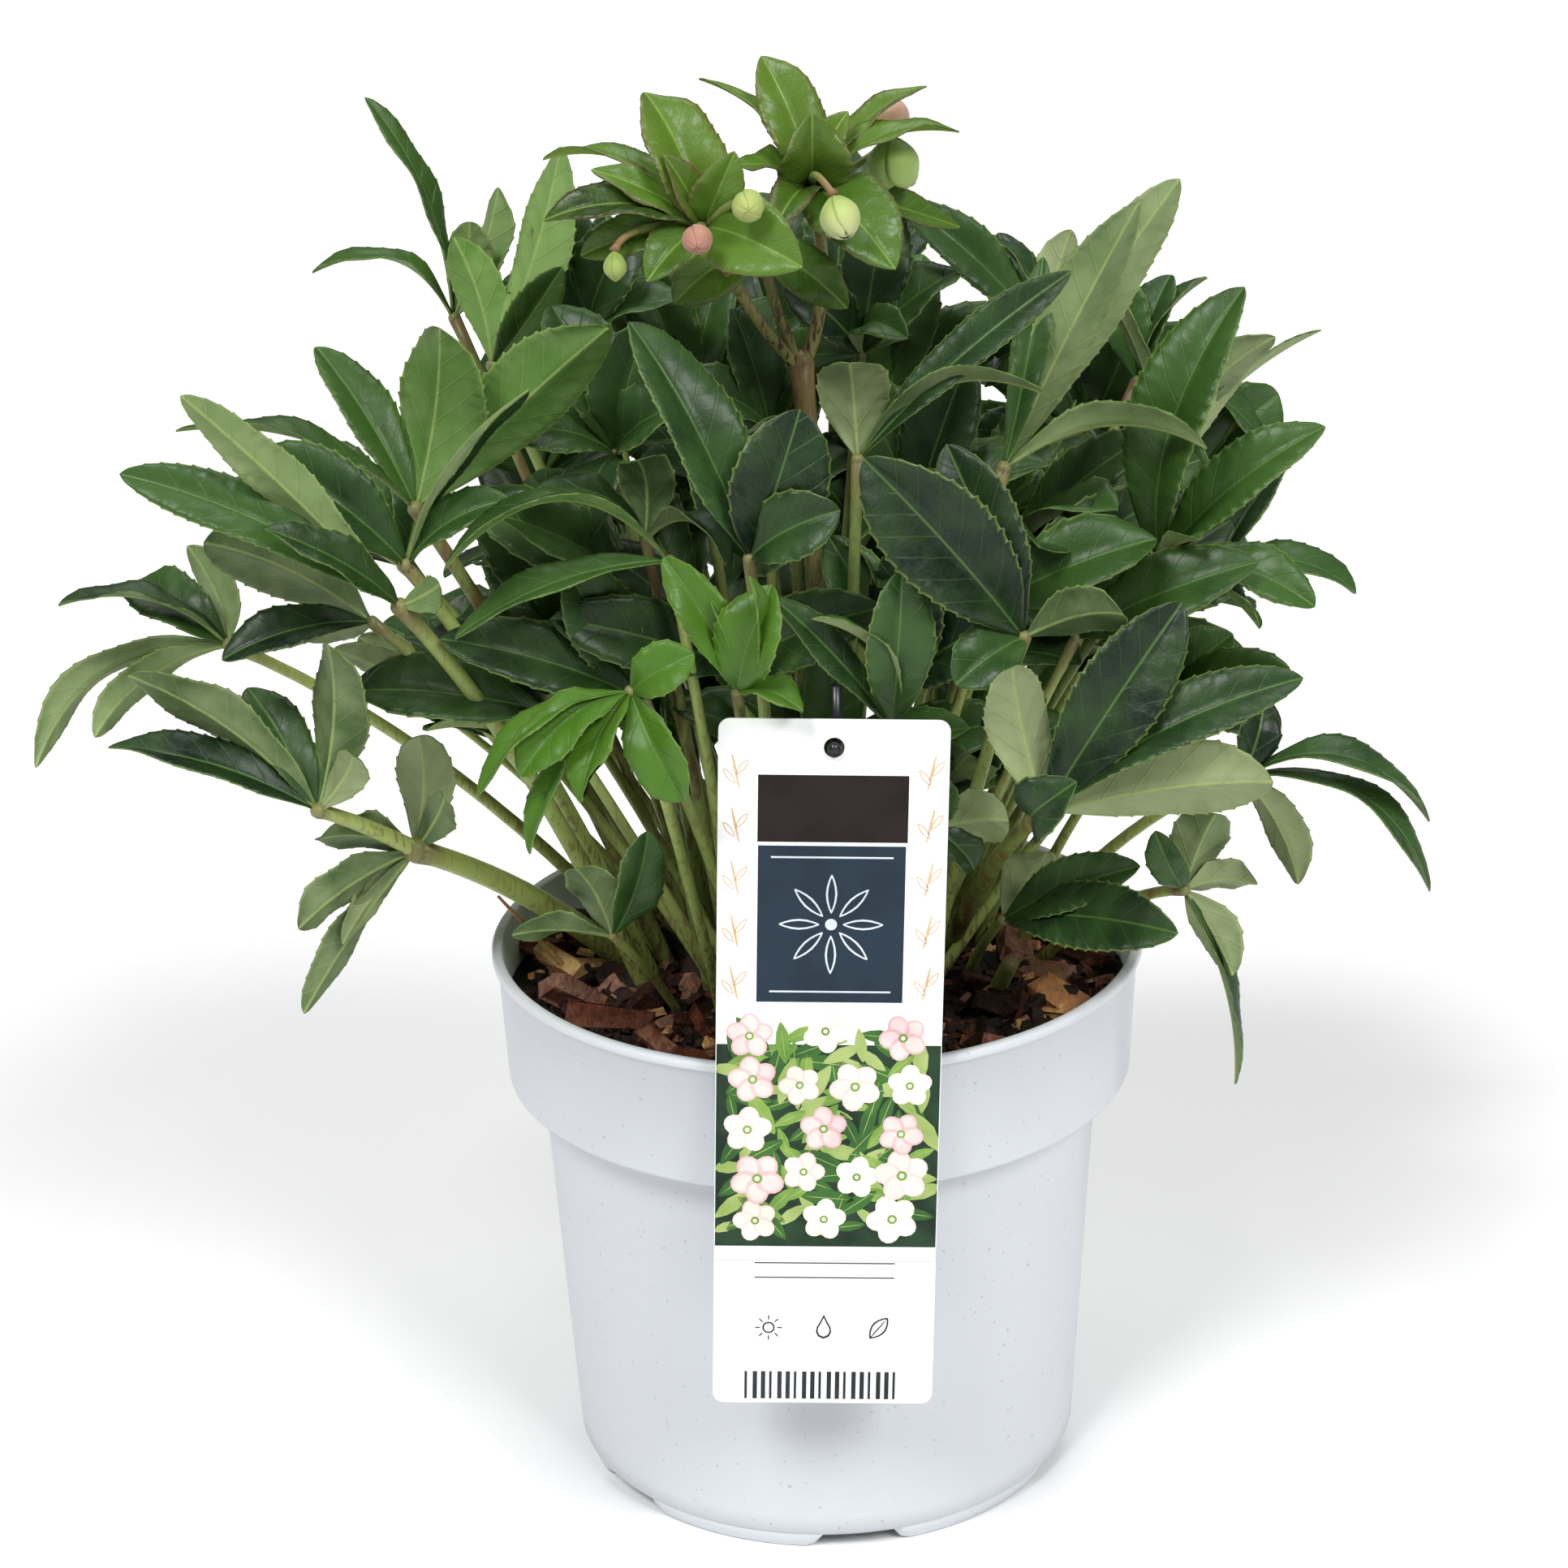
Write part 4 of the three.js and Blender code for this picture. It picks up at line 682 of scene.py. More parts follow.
class Workshop:
    """A mesh in the making, with the attributes that the finishes read.

    Attributes:
        bm: The mesh, in millimetres round the pot's axis.
    """

    room: tuple[Vector, Vector] | None = None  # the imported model's corners, which no piece leaves

    def __init__(self) -> None:
        """Start an empty mesh."""
        self.bm: BMesh = bmesh.new()
        self.blade = self.bm.verts.layers.float_vector.new("blade")
        self.tint = self.bm.verts.layers.float_vector.new("tint")

    def formed_grid(self, columns: int, rows: int, place: Callable[[int, int], Vector]) -> list[BMVert]:
        """Add a grid and form it.

        Args:
            columns: Faces along the first direction.
            rows: Faces along the second.
            place: Gives the point for a column and a row of corners.

        Returns:
            The corners.
        """
        verts = bmesh.ops.create_grid(self.bm, x_segments=columns, y_segments=rows, size=1.0)["verts"]
        for vert in verts:
            i = round((vert.co.x + 1.0) * 0.5 * columns)
            j = round((vert.co.y + 1.0) * 0.5 * rows)
            vert[self.blade] = Vector((i, j, 0.0))
            vert.co = place(i, j)
        return verts

    def sheet_with_thickness(self, verts: list[BMVert], depth: Callable[[BMVert], Vector], upper: int,
                             under: int, rim: int) -> None:
        """Give a formed grid its thickness.

        Args:
            verts: Corners of the grid, whose faces look up.
            depth: Move from the upper face to the underside at a corner.
            upper: Material index of the upper face.
            under: Material index of the underside.
            rim: Material index of the edge.
        """
        faces = faces_at(verts)
        down = [(vert, depth(vert)) for vert in verts]
        made = bmesh.ops.extrude_face_region(self.bm, geom=faces, use_keep_orig=True)["geom"]
        caps = [item for item in made if isinstance(item, BMFace)]
        for vert, move in down:
            vert.co += move
        sheet = set(faces)
        walls = [face for face in faces_at(verts) if face not in sheet]
        for face in caps:
            face.material_index = upper
        for face in faces:
            face.material_index = under
        for face in walls:
            face.material_index = rim
        bmesh.ops.recalc_face_normals(self.bm, faces=[*faces, *caps, *walls])

    def tube(self, curve: Bend, radii: tuple[float, float], rings: int, sides: int, material: int,
             tone: float = 0.5, swell: float = 0.0, red: float = 0.0) -> None:
        """Add a round closed tube along a curve.

        Args:
            curve: Its centre line.
            radii: Radius at the start and at the end.
            rings: Faces along it.
            sides: Faces round it.
            material: Material index.
            tone: The first number of its tint.
            swell: Share by which the last tenth widens.
            red: How streaked with red-brown it is.
        """
        def place(i: int, j: int) -> Vector:
            share = i / rings
            along = curve.heading(share)
            across = Vector((0.0, 1.0, 0.0)).cross(along).normalized()
            other = along.cross(across)
            radius = radii[0] + (radii[1] - radii[0]) * share
            radius *= 1.0 + swell * max(0.0, (share - 0.9) / 0.1) ** 2
            angle = -2.0 * math.pi * j / sides
            return curve.at(share) + across * (radius * math.cos(angle)) + other * (radius * math.sin(angle))

        verts = self.formed_grid(rings, sides, place)
        for vert in verts:
            share = vert[self.blade].x / rings
            vert[self.blade] = Vector((share, 0.0, share))
            vert[self.tint] = Vector((tone, red, 0.0))
            for face in vert.link_faces:
                face.material_index = material
                face.smooth = True
        bmesh.ops.remove_doubles(self.bm, verts=verts, dist=0.001)
        kept = [vert for vert in verts if vert.is_valid]
        rims = [edge for edge in edges_at(kept) if edge.is_boundary]
        ends = bmesh.ops.edgeloop_fill(self.bm, edges=rims, mat_nr=material)["faces"]
        around = dict.fromkeys([*faces_at(kept), *ends])
        bmesh.ops.recalc_face_normals(self.bm, faces=list(around))

    def turned(self, profile: list[tuple[float, float]], steps: int) -> None:
        """Add a shape turned round the upright axis.

        Args:
            profile: Its points as radius and height.
            steps: Faces round the axis.
        """
        verts = [self.bm.verts.new(Vector((radius, 0.0, height))) for radius, height in profile]
        edges = [self.bm.edges.new(pair) for pair in zip(verts, verts[1:])]
        bmesh.ops.spin(self.bm, geom=[*verts, *edges], cent=(0.0, 0.0, 0.0), axis=(0.0, 0.0, 1.0),
                       angle=2.0 * math.pi, steps=steps, use_merge=True)
        bmesh.ops.remove_doubles(self.bm, verts=self.bm.verts, dist=0.01)

    def lump(self, centre: Vector, radius: float, material: int,
             squash: Vector | None = None) -> list[BMVert]:
        """Add a small rounded swelling.

        Args:
            centre: Its middle.
            radius: Its radius.
            material: Material index.
            squash: Scale along each axis.

        Returns:
            Its corners.
        """
        verts = bmesh.ops.create_icosphere(self.bm, subdivisions=2, radius=radius)["verts"]
        if squash is not None:
            bmesh.ops.scale(self.bm, vec=squash, verts=verts)
        bmesh.ops.translate(self.bm, vec=centre, verts=verts)
        for vert in verts:
            vert[self.blade] = Vector((1.0, 0.0, 0.97))
            vert[self.tint] = Vector((0.4, 0.0, 0.0))
            for face in vert.link_faces:
                face.material_index = material
                face.smooth = True
        return verts

    def finish(self, name: str, materials: Iterable[bpy.types.Material],
               smooth: bool = True) -> bpy.types.Object:
        """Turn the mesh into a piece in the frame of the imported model.

        Args:
            name: The piece's name.
            materials: Its materials by index.
            smooth: Whether its faces are shaded smooth.

        Returns:
            The piece, riding on the only body.
        """
        axis = sum(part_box("pot"), Vector()) / 2.0
        seat = Matrix.Translation((axis.x, axis.y, 0.0)) @ Matrix.Scale(MM, 4)
        bmesh.ops.transform(self.bm, matrix=seat, verts=self.bm.verts)
        if smooth:
            for face in self.bm.faces:
                face.smooth = True
        low, high = self.room
        for vert in self.bm.verts:
            vert.co = [min(max(part, least), most) for part, least, most in zip(vert.co, low, high)]
        mesh = bpy.data.meshes.new(name)
        self.bm.to_mesh(mesh)
        self.bm.free()
        for material in materials:
            mesh.materials.append(material)
        piece = bpy.data.objects.new(name, mesh)
        bpy.context.scene.collection.objects.link(piece)
        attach(piece, "root")
        return piece


# ---- Leaves and bracts ----------------------------------------------------------------------------------
@dataclass(frozen=True)
class Blade:
    """One leaflet or bract: folded along its midrib, arched, saw-toothed and puckered between side veins."""

    fork: Vector
    tip: Vector
    width: float
    turn: float
    arch: float
    facing: Vector = FRONT  # where the upper face looks before its turn
    spacing: float = 3.9  # millimetres from tooth to tooth
    tooth: float = 0.06  # depth of a tooth as a share of the half-width
    tooth_form: tuple = ((0.0, 1.0), (0.6, 0.72), (0.9, 0.0))  # share of a tooth's run, share of its depth
    teeth_fewest: int = 5
    teeth_most: int = 18
    plain: tuple = (0.0, 0.06, 0.13, 0.19)  # columns of the toothless base, as shares of the length
    toothed_from: float = 0.23
    toothed_run: float = 0.75
    shoulder: float = 0.988  # last column before the point
    base_power: float = 1.05
    tip_power: float = 0.72
    least_half: tuple[float, float] = (0.28, 0.05)  # least half-width at the fork, and at the point
    fold: float = 17.0
    cup: tuple[float, float] = (0.7, 1.5)  # by how much chance changes the fold
    curl: float = 0.35  # how much the fold flattens toward the margin
    thickness: float = 0.34
    rib: float = 0.7
    rib_taper: float = 0.8
    reach: float = 0.988  # share of the length at which the point ends
    rows: int = 10
    twist: float = 34.0  # most that the point turns about the midrib, in degrees
    pucker: float = 8.2  # millimetres between side veins
    slant: float = 1.15  # how far a side vein runs forward on its way to the margin
    pucker_height: float = 0.07  # share of the half-width, up to a half-width of pucker_most
    pucker_most: float = 9.0
    wave: tuple[float, float] = (0.4, 1.2)  # height of the margin's waves, from a half-width of wave_half
    wave_half: float = 6.0
    waves: tuple[float, float] = (1.6, 2.6)  # waves along a margin
    wave_offset: float = 1.3  # radians from one margin's waves to the other's

    def stations(self) -> list[tuple[float, float]]:
        """Shares of the length for the columns, each with its cut of the half-width."""
        length = (self.tip - self.fork).length
        teeth = min(max(round(0.76 * length / self.spacing), self.teeth_fewest), self.teeth_most)
        made = [(share, 1.0 - self.tooth) for share in self.plain]
        for k in range(teeth):
            for step, cut in self.tooth_form:
                share = self.toothed_from + self.toothed_run * (k + step) / teeth
                made.append((share, 1.0 - self.tooth * cut))
        made.append((self.shoulder, 1.0 - self.tooth))
        made.append((1.0, 1.0))
        return made

    def outline(self, share: float) -> float:
        """Half-width as a share of the widest: a wedge base, widest past the middle."""
        if share <= 0.0 or share >= 1.0:
            return 0.0
        peak = self.base_power / (self.base_power + self.tip_power)
        top = peak ** self.base_power * (1.0 - peak) ** self.tip_power
        return share ** self.base_power * (1.0 - share) ** self.tip_power / top

    def grow(self, shop: Workshop, dice: random.Random, youth: float, purple: float,
             materials: tuple[int, int, int] = (0, 1, 2)) -> None:
        """Add the blade to a mesh.

        Args:
            shop: The mesh in the making.
            dice: Random numbers.
            youth: How young the leaf is.
            purple: How purple its margin is.
            materials: Material indices of the upper face, the underside and the rim.
        """
        along = (self.tip - self.fork).normalized()
        face = (self.facing - along * self.facing.dot(along)).normalized()
        face.rotate(Quaternion(along, math.radians(self.turn)))
        curve = Bend(self.fork, (self.fork + self.tip) / 2.0 + face * (2.0 * self.arch), self.tip)
        stations = self.stations()
        columns = len(stations) - 1
        length = (self.tip - self.fork).length
        rise = math.sin(math.radians(self.fold))
        run = math.cos(math.radians(self.fold))
        wave, phase = dice.uniform(*self.wave), dice.uniform(0.0, FULL_TURN)
        twist = math.radians(dice.uniform(-self.twist, self.twist))
        cup = dice.uniform(*self.cup)
        ripples = dice.uniform(*self.waves)
        tone = dice.random()
        frames = []
        for share, cut in stations:
            place = share * self.reach
            tangent = curve.heading(place)
            normal = (face - tangent * face.dot(tangent)).normalized()
            normal.rotate(Quaternion(tangent, twist * share ** 1.5))
            least = self.least_half[0] * (1.0 - share) + self.least_half[1]
            half = max(0.5 * self.width * self.outline(share) * cut, least)
            frames.append((curve.at(place), normal, tangent.cross(normal), half, share))

        def shape(i: int, j: int) -> Vector:
            point, normal, side, half, share = frames[i]
            v = 1.0 - 2.0 * j / self.rows
            size = abs(v)
            lift = half * rise * cup * ((1.0 + self.curl) * size - self.curl * size ** 3)
            veins = (share * length - self.slant * size * half) / self.pucker
            bulge = abs(math.sin(math.pi * veins)) * size * (1.0 - size) * 4.0
            lift += self.pucker_height * min(half, self.pucker_most) * bulge
            swing = math.sin(ripples * 2.0 * math.pi * share + phase + (self.wave_offset if v > 0 else 0.0))
            lift += wave * min(half / self.wave_half, 1.0) * size ** 2 * swing
            return point + side * (v * half * run) + normal * lift

        verts = shop.formed_grid(columns, self.rows, shape)
        drop = {}
        for vert in verts:
            i, j = int(vert[shop.blade].x), int(vert[shop.blade].y)
            _, normal, _, half, share = frames[i]
            v = 1.0 - 2.0 * j / self.rows
            rib = self.rib * (1.0 - self.rib_taper * share) if 2 * j == self.rows else 0.0
            drop[vert] = normal * -(self.thickness + rib)
            vert[shop.blade] = Vector((share * length, v * half, abs(v)))
            vert[shop.tint] = Vector((tone, youth, purple))
        shop.sheet_with_thickness(verts, drop.__getitem__, *materials)


@dataclass
class Foliage:
    """All the leaves, a piece for each."""

    seed: int = 5
    stalk_sides: int = 10
    stalk_rings: int = 14
    knot: float = 0.95  # radius of the swelling at the fork over the stalk's, and its least radius
    knot_least: float = 1.3

    def stalk(self, row: tuple, fork: Vector) -> Bend:
        """Centre line of a leaf stalk.

        Args:
            row: Foot x, foot y, diameter, bow and, where it has one, start height.
            fork: Where it ends.

        Returns:
            The curve, bowed upward.
        """
        start = Vector((row[0], row[1], row[4] if len(row) > 4 else STALK_START))
        middle = (start + fork) / 2.0 + Vector((0.0, 0.0, 2.0 * row[3]))
        return Bend(start, middle, fork)

    def build(self) -> list[bpy.types.Object]:
        """Make the pieces.

        Returns:
            One piece for each leaf.
        """
        finishes = [finish.build() for finish in (UPPER, UNDER, MARGIN, PETIOLE)]
        shops: dict[str, Workshop] = {}
        for name, stalk, fork_row, rows in LEAVES:
            dice = random.Random(f"{name}-{self.seed}-{len(shops)}")
            shop = shops.setdefault(name, Workshop())
            fork = Vector(fork_row)
            radius = stalk[2] / 2.0
            shop.tube(self.stalk(stalk, fork), (radius, radius * STALK_TAPER), self.stalk_rings,
                      self.stalk_sides, 3, dice.random(), 0.25, dice.choice((0.0, 0.1, 0.2, 0.9)))
            shop.lump(fork, max(self.knot_least, radius * self.knot), 3)
            for x, y, z, width, turn, arch in rows:
                blade = Blade(fork, Vector((x, y, z)), width, turn, arch)
                blade.grow(shop, dice, YOUTH.get(name, 0.0), 0.0)
        made = []
        for name, shop in shops.items():
            piece = shop.finish(f"{name}_fine", finishes)
            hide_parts(name)
            made.append(piece)
        return made


@dataclass
class InnerLeaves:
    """Shaded leaves that fill the plant's middle between the outer ones."""

    count: int = 44
    blades: int = 5
    spread: float = 104.0  # distance of the farthest fork from the axis
    foot: float = 0.3  # distance of a foot from the axis over its fork's
    top: float = 296.0  # height of the forks in the middle
    fall: float = 50.0  # how much lower the farthest forks are
    drop: float = 86.0  # most that chance lowers a fork
    back: float = 10.0  # how far the forks are set back
    fan: float = 39.0  # degrees from blade to blade
    fan_chance: float = 9.0
    rise: float = 50.0  # degrees that the middle blade rises in the middle of the plant
    rise_fall: float = 26.0  # how much less it rises at the outside
    rise_side: float = 11.0  # how much less each next blade rises
    rise_chance: float = 14.0
    length: tuple[float, float] = (50.0, 68.0)
    shorter: float = 0.06  # share by which each next blade is shorter
    width: tuple[float, float] = (19.0, 26.0)
    turn: tuple[float, float] = (-18.0, 18.0)
    arch: tuple[float, float] = (3.0, 9.0)
    youth: tuple[float, float] = (0.0, 0.25)
    spacing: float = 6.0  # teeth and rows are coarser than the outer leaves'
    rows: int = 8
    low: float = 226.0  # below this a tip stays behind the axis and within the rim
    rim: float = 64.0
    front: float = -62.0  # no tip comes farther forward, none farther out than the side
    side: float = 136.0
    fork_front: float = -50.0
    seed: int = 41
    golden: float = 2.399963  # angle from leaf to leaf, in radians, that spreads them evenly
    upper: tuple = ((24.0, 50.0, 306.0), (-33.0, 50.0, 309.0), (-4.0, 60.0, 304.0), (112.0, 62.0, 278.0),
                    (84.0, 62.0, 292.0), (-78.0, 56.0, 286.0))  # forks behind the flowers and outer leaves

    def stalk(self, shop: Workshop, dice: random.Random, foot: Vector, fork: Vector) -> None:
        """Add a stalk and the swelling at its fork.

        Args:
            shop: The mesh in the making.
            dice: Source of the stalk's tint.
            foot: Where it stands.
            fork: Where its blades start.
        """
        middle = (foot + fork) / 2.0 + Vector((0.0, 0.0, 8.0))
        shop.tube(Bend(foot, middle, fork), (2.0, 1.4), 10, 8, 3, dice.random(), 0.2, 0.2)
        shop.lump(fork, 1.8, 3)

    def steep_leaf(self, shop: Workshop, dice: random.Random, fork: Vector) -> None:
        """Add a leaf whose four blades rise behind the flowers and the tall outer leaves.

        Args:
            shop: The mesh in the making.
            dice: Source of its chances.
            fork: Where its blades start.
        """
        self.stalk(shop, dice, Vector((self.foot * fork.x, 26.0, STALK_START)), fork)
        for j in range(4):
            lean = math.radians(-54.0 + 36.0 * j + dice.uniform(-8.0, 8.0))
            tip = fork + dice.uniform(38.0, 47.0) * Vector((math.sin(lean), 0.2, math.cos(lean)))
            blade = Blade(fork, tip, dice.uniform(20.0, 25.0), dice.uniform(*self.turn),
                          dice.uniform(3.0, 7.0), Vector((0.0, -0.8, 0.5)), spacing=self.spacing,
                          rows=self.rows)
            blade.grow(shop, dice, dice.uniform(*self.youth), 0.0)

    def leaf(self, dice: random.Random, k: int) -> tuple[Vector, Vector, list[Blade]]:
        """Fork, foot and blades of a leaf.

        Args:
            dice: Source of its chances.
            k: Its number from the middle outward.

        Returns:
            The fork, the foot, and the blades that don't show where the plant has gaps.
        """
        share = (k + 0.5) / self.count
        angle = self.golden * k
        outward = Vector((math.cos(angle), math.sin(angle), 0.0))
        reach = self.spread * math.sqrt(share)
        fork = outward * reach
        fork.y += self.back
        fork.z = self.top - self.fall * share - dice.uniform(0.0, self.drop)
        facing = Vector((0.0, -0.45, 0.75)) + outward * 0.4
        blades = []
        for j in range(self.blades):
            away = j - (self.blades - 1) / 2.0
            heading = angle + math.radians(self.fan * away + dice.uniform(-self.fan_chance, self.fan_chance))
            rise = math.radians(self.rise - self.rise_fall * share - self.rise_side * abs(away)
                                + dice.uniform(-self.rise_chance, self.rise_chance))
            length = dice.uniform(*self.length) * (1.0 - self.shorter * abs(away))
            level = Vector((math.cos(heading), math.sin(heading), 0.0)) * math.cos(rise)
            tip = fork + length * (level + Vector((0.0, 0.0, math.sin(rise))))
            blade = Blade(fork, tip, dice.uniform(*self.width), dice.uniform(*self.turn),
                          dice.uniform(*self.arch), facing, spacing=self.spacing, rows=self.rows)
            low = tip.z < self.low and (abs(tip.x) > self.rim or tip.y < 0.0)
            if not low and tip.y > self.front and abs(tip.x) < self.side:
                blades.append(blade)
        return fork, outward * (self.foot * reach) + Vector((0.0, 0.0, STALK_START)), blades

    def build(self) -> list[bpy.types.Object]:
        """Make the piece.

        Returns:
            The inner leaves.
        """
        dice = random.Random(self.seed)
        shop = Workshop()
        for k in range(self.count):
            fork, foot, blades = self.leaf(dice, k)
            if len(blades) < 2 or fork.y < self.fork_front:
                continue
            self.stalk(shop, dice, foot, fork)
            for blade in blades:
                blade.grow(shop, dice, dice.uniform(*self.youth), 0.0)
        for place in self.upper:
            self.steep_leaf(shop, dice, Vector(place))
        finishes = [finish.build() for finish in (UPPER, UNDER, MARGIN, PETIOLE)]
        piece = shop.finish("inner_leaves_fine", finishes)
        return [piece]


@dataclass
class FlowerStem:
    """Trunk, twigs, bracts and flower stalks."""

    seed: int = 17
    sides: int = 14
    rings: int = 18
    trunk_end: float = 0.42  # radius at the end over the diameter at the foot
    twig_end: float = 0.4
    stalk_radii: tuple[float, float] = (1.15, 0.95)
    young_from: float = 384.0  # height from which bracts are brighter, the more the higher up to young_most
    young_over: float = 45.0
    young_most: float = 0.5
    broad: float = 12.0  # width past which a bract flushes little
    broad_flush: tuple[float, float] = (0.05, 0.3)
    narrow_flush: tuple[float, float] = (0.4, 0.9)

    def build(self) -> list[bpy.types.Object]:
        """Make the piece.

        Returns:
            The stem.
        """
        dice = random.Random(self.seed)
        shop = Workshop()
        for k, (start, through, end, diameter) in enumerate(BRANCHES):
            curve = Bend(Vector(start), Vector(through), Vector(end))
            last = self.twig_end if k else self.trunk_end
            shop.tube(curve, (diameter / 2.0, last * diameter), self.rings, self.sides, 3, 0.3, 0.2)
            shop.lump(Vector(end), 0.5 * diameter, 3)
            for x, y, z, width, turn, arch in ROSETTES[k - 1] if k else ():
                blade = Blade(Vector(end), Vector((x, y, z)), width * BRACT_SPREAD, turn, arch, spacing=3.0,
                              tooth=0.035, base_power=0.8, tip_power=0.8)
                youth = min(max((z - self.young_from) / self.young_over, 0.0), self.young_most)
                youth += dice.uniform(0.0, 0.3)
                flush = self.broad_flush if width > self.broad else self.narrow_flush
                blade.grow(shop, dice, youth, dice.uniform(*flush))
        for _, start, through, base, _, _ in FLOWERS:
            curve = Bend(Vector(start), Vector(through), Vector(base))
            shop.tube(curve, self.stalk_radii, 12, 10, 4, 0.5, 0.6)
        skins = (BRACT_UPPER, BRACT_UNDER, MARGIN, TRUNK_SKIN, PEDICEL_SKIN)
        piece = shop.finish("flower_stem_fine", [finish.build() for finish in skins])
        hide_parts("flower_stem")
        return [piece]


@dataclass
class Flower:
    """Bud or bell of five overlapping sepals."""

    name: str
    base: Vector
    tip: Vector
    diameter: float
    skin: SepalSkin
    mouth: float = 0.2  # radius at the tip as a share of the widest: small in a bud, large in a bell
    sepals: int = 5
    overlap: float = 1.45
    columns: int = 14
    rows: int = 12
    thickness: float = 0.45
    tucked: float = 0.055  # how far every second sepal lies inside, as a share of the radius
    narrow_from: float = 0.62  # share of the length from which a sepal narrows to its point
    stamen_count: int = 26
    stamen_turn: float = 2.4  # radians from stamen to stamen
    stamen_spread: float = 0.42  # of the radius
    stamen_length: float = 0.8  # of the flower's

    def radius(self, share: float) -> float:
        """Radius at a share of the length, over the widest."""
        belly = math.sin(math.pi * min(share / 0.5, 1.0) / 2.0) ** 0.7
        if share <= 0.5:
            return belly
        fall = (share - 0.5) / 0.5
        return 1.0 - (1.0 - self.mouth) * fall ** 2.2

    def build(self) -> list[bpy.types.Object]:
        """Make the piece.

        Returns:
            The flower.
        """
        shop = Workshop()
        axis = self.tip - self.base
        along = axis.normalized()
        across = Vector((1.0, 0.0, 0.0)).cross(along).normalized()
        other = along.cross(across)
        spread = math.pi / self.sepals * self.overlap
        for k in range(self.sepals):
            heading = 2.0 * math.pi * k / self.sepals
            inner = self.tucked * (k % 2)

            def place(i: int, j: int) -> Vector:
                share = i / self.columns
                v = 1.0 - 2.0 * j / self.rows
                past = max(0.0, (share - self.narrow_from) / (1.0 - self.narrow_from))
                narrow = math.sqrt(max(0.0, 1.0 - past ** 2.4))
                angle = heading + v * spread * max(narrow, 0.04)
                size = self.radius(share) * (0.93 - inner + 0.035 * v + 0.03 * (1.0 - v * v))
                size = max(0.5 * self.diameter * size, 0.25)
                return (self.base + axis * min(share + 0.02 * (1.0 - v * v), 1.0)
                        + across * (size * math.cos(angle)) + other * (size * math.sin(angle)))

            verts = shop.formed_grid(self.columns, self.rows, place)
            drop = {}
            for vert in verts:
                i, j = vert[shop.blade].x, vert[shop.blade].y
                inward = self.base + axis * (i / self.columns) - vert.co
                drop[vert] = inward.normalized() * self.thickness if inward.length > 0.8 else inward * 0.4
                vert[shop.blade] = Vector((i / self.columns, 1.0 - 2.0 * j / self.rows, 0.0))
            shop.sheet_with_thickness(verts, drop.__getitem__, 0, 0, 0)
        if self.mouth > 0.4:
            self.stamens(shop, along, across, other)
        else:
            shop.lump(self.base + axis * 0.9, 0.08 * axis.length, 0)
        piece = shop.finish(f"{self.name}_fine", [self.skin.build(), CREAM.build()])
        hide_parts(self.name)
        return [piece]

    def stamens(self, shop: Workshop, along: Vector, across: Vector, other: Vector) -> None:
        """Fill an open mouth with stamens.

        Args:
            shop: The mesh in the making.
            along: Axis of the flower.
            across: First direction across it.
            other: Second direction across it.
        """
        heart = self.base + along * 1.5
        for k in range(self.stamen_count):
            angle = self.stamen_turn * k
            reach = 0.5 * self.diameter * self.stamen_spread * math.sqrt((k + 0.5) / self.stamen_count)
            end = (self.base + (self.tip - self.base) * self.stamen_length
                   + across * (reach * math.cos(angle)) + other * (reach * math.sin(angle)))
            shop.tube(Bend(heart, (heart + end) / 2.0, end), (0.18, 0.14), 2, 4, 1)
            shop.lump(end, 0.45, 1)


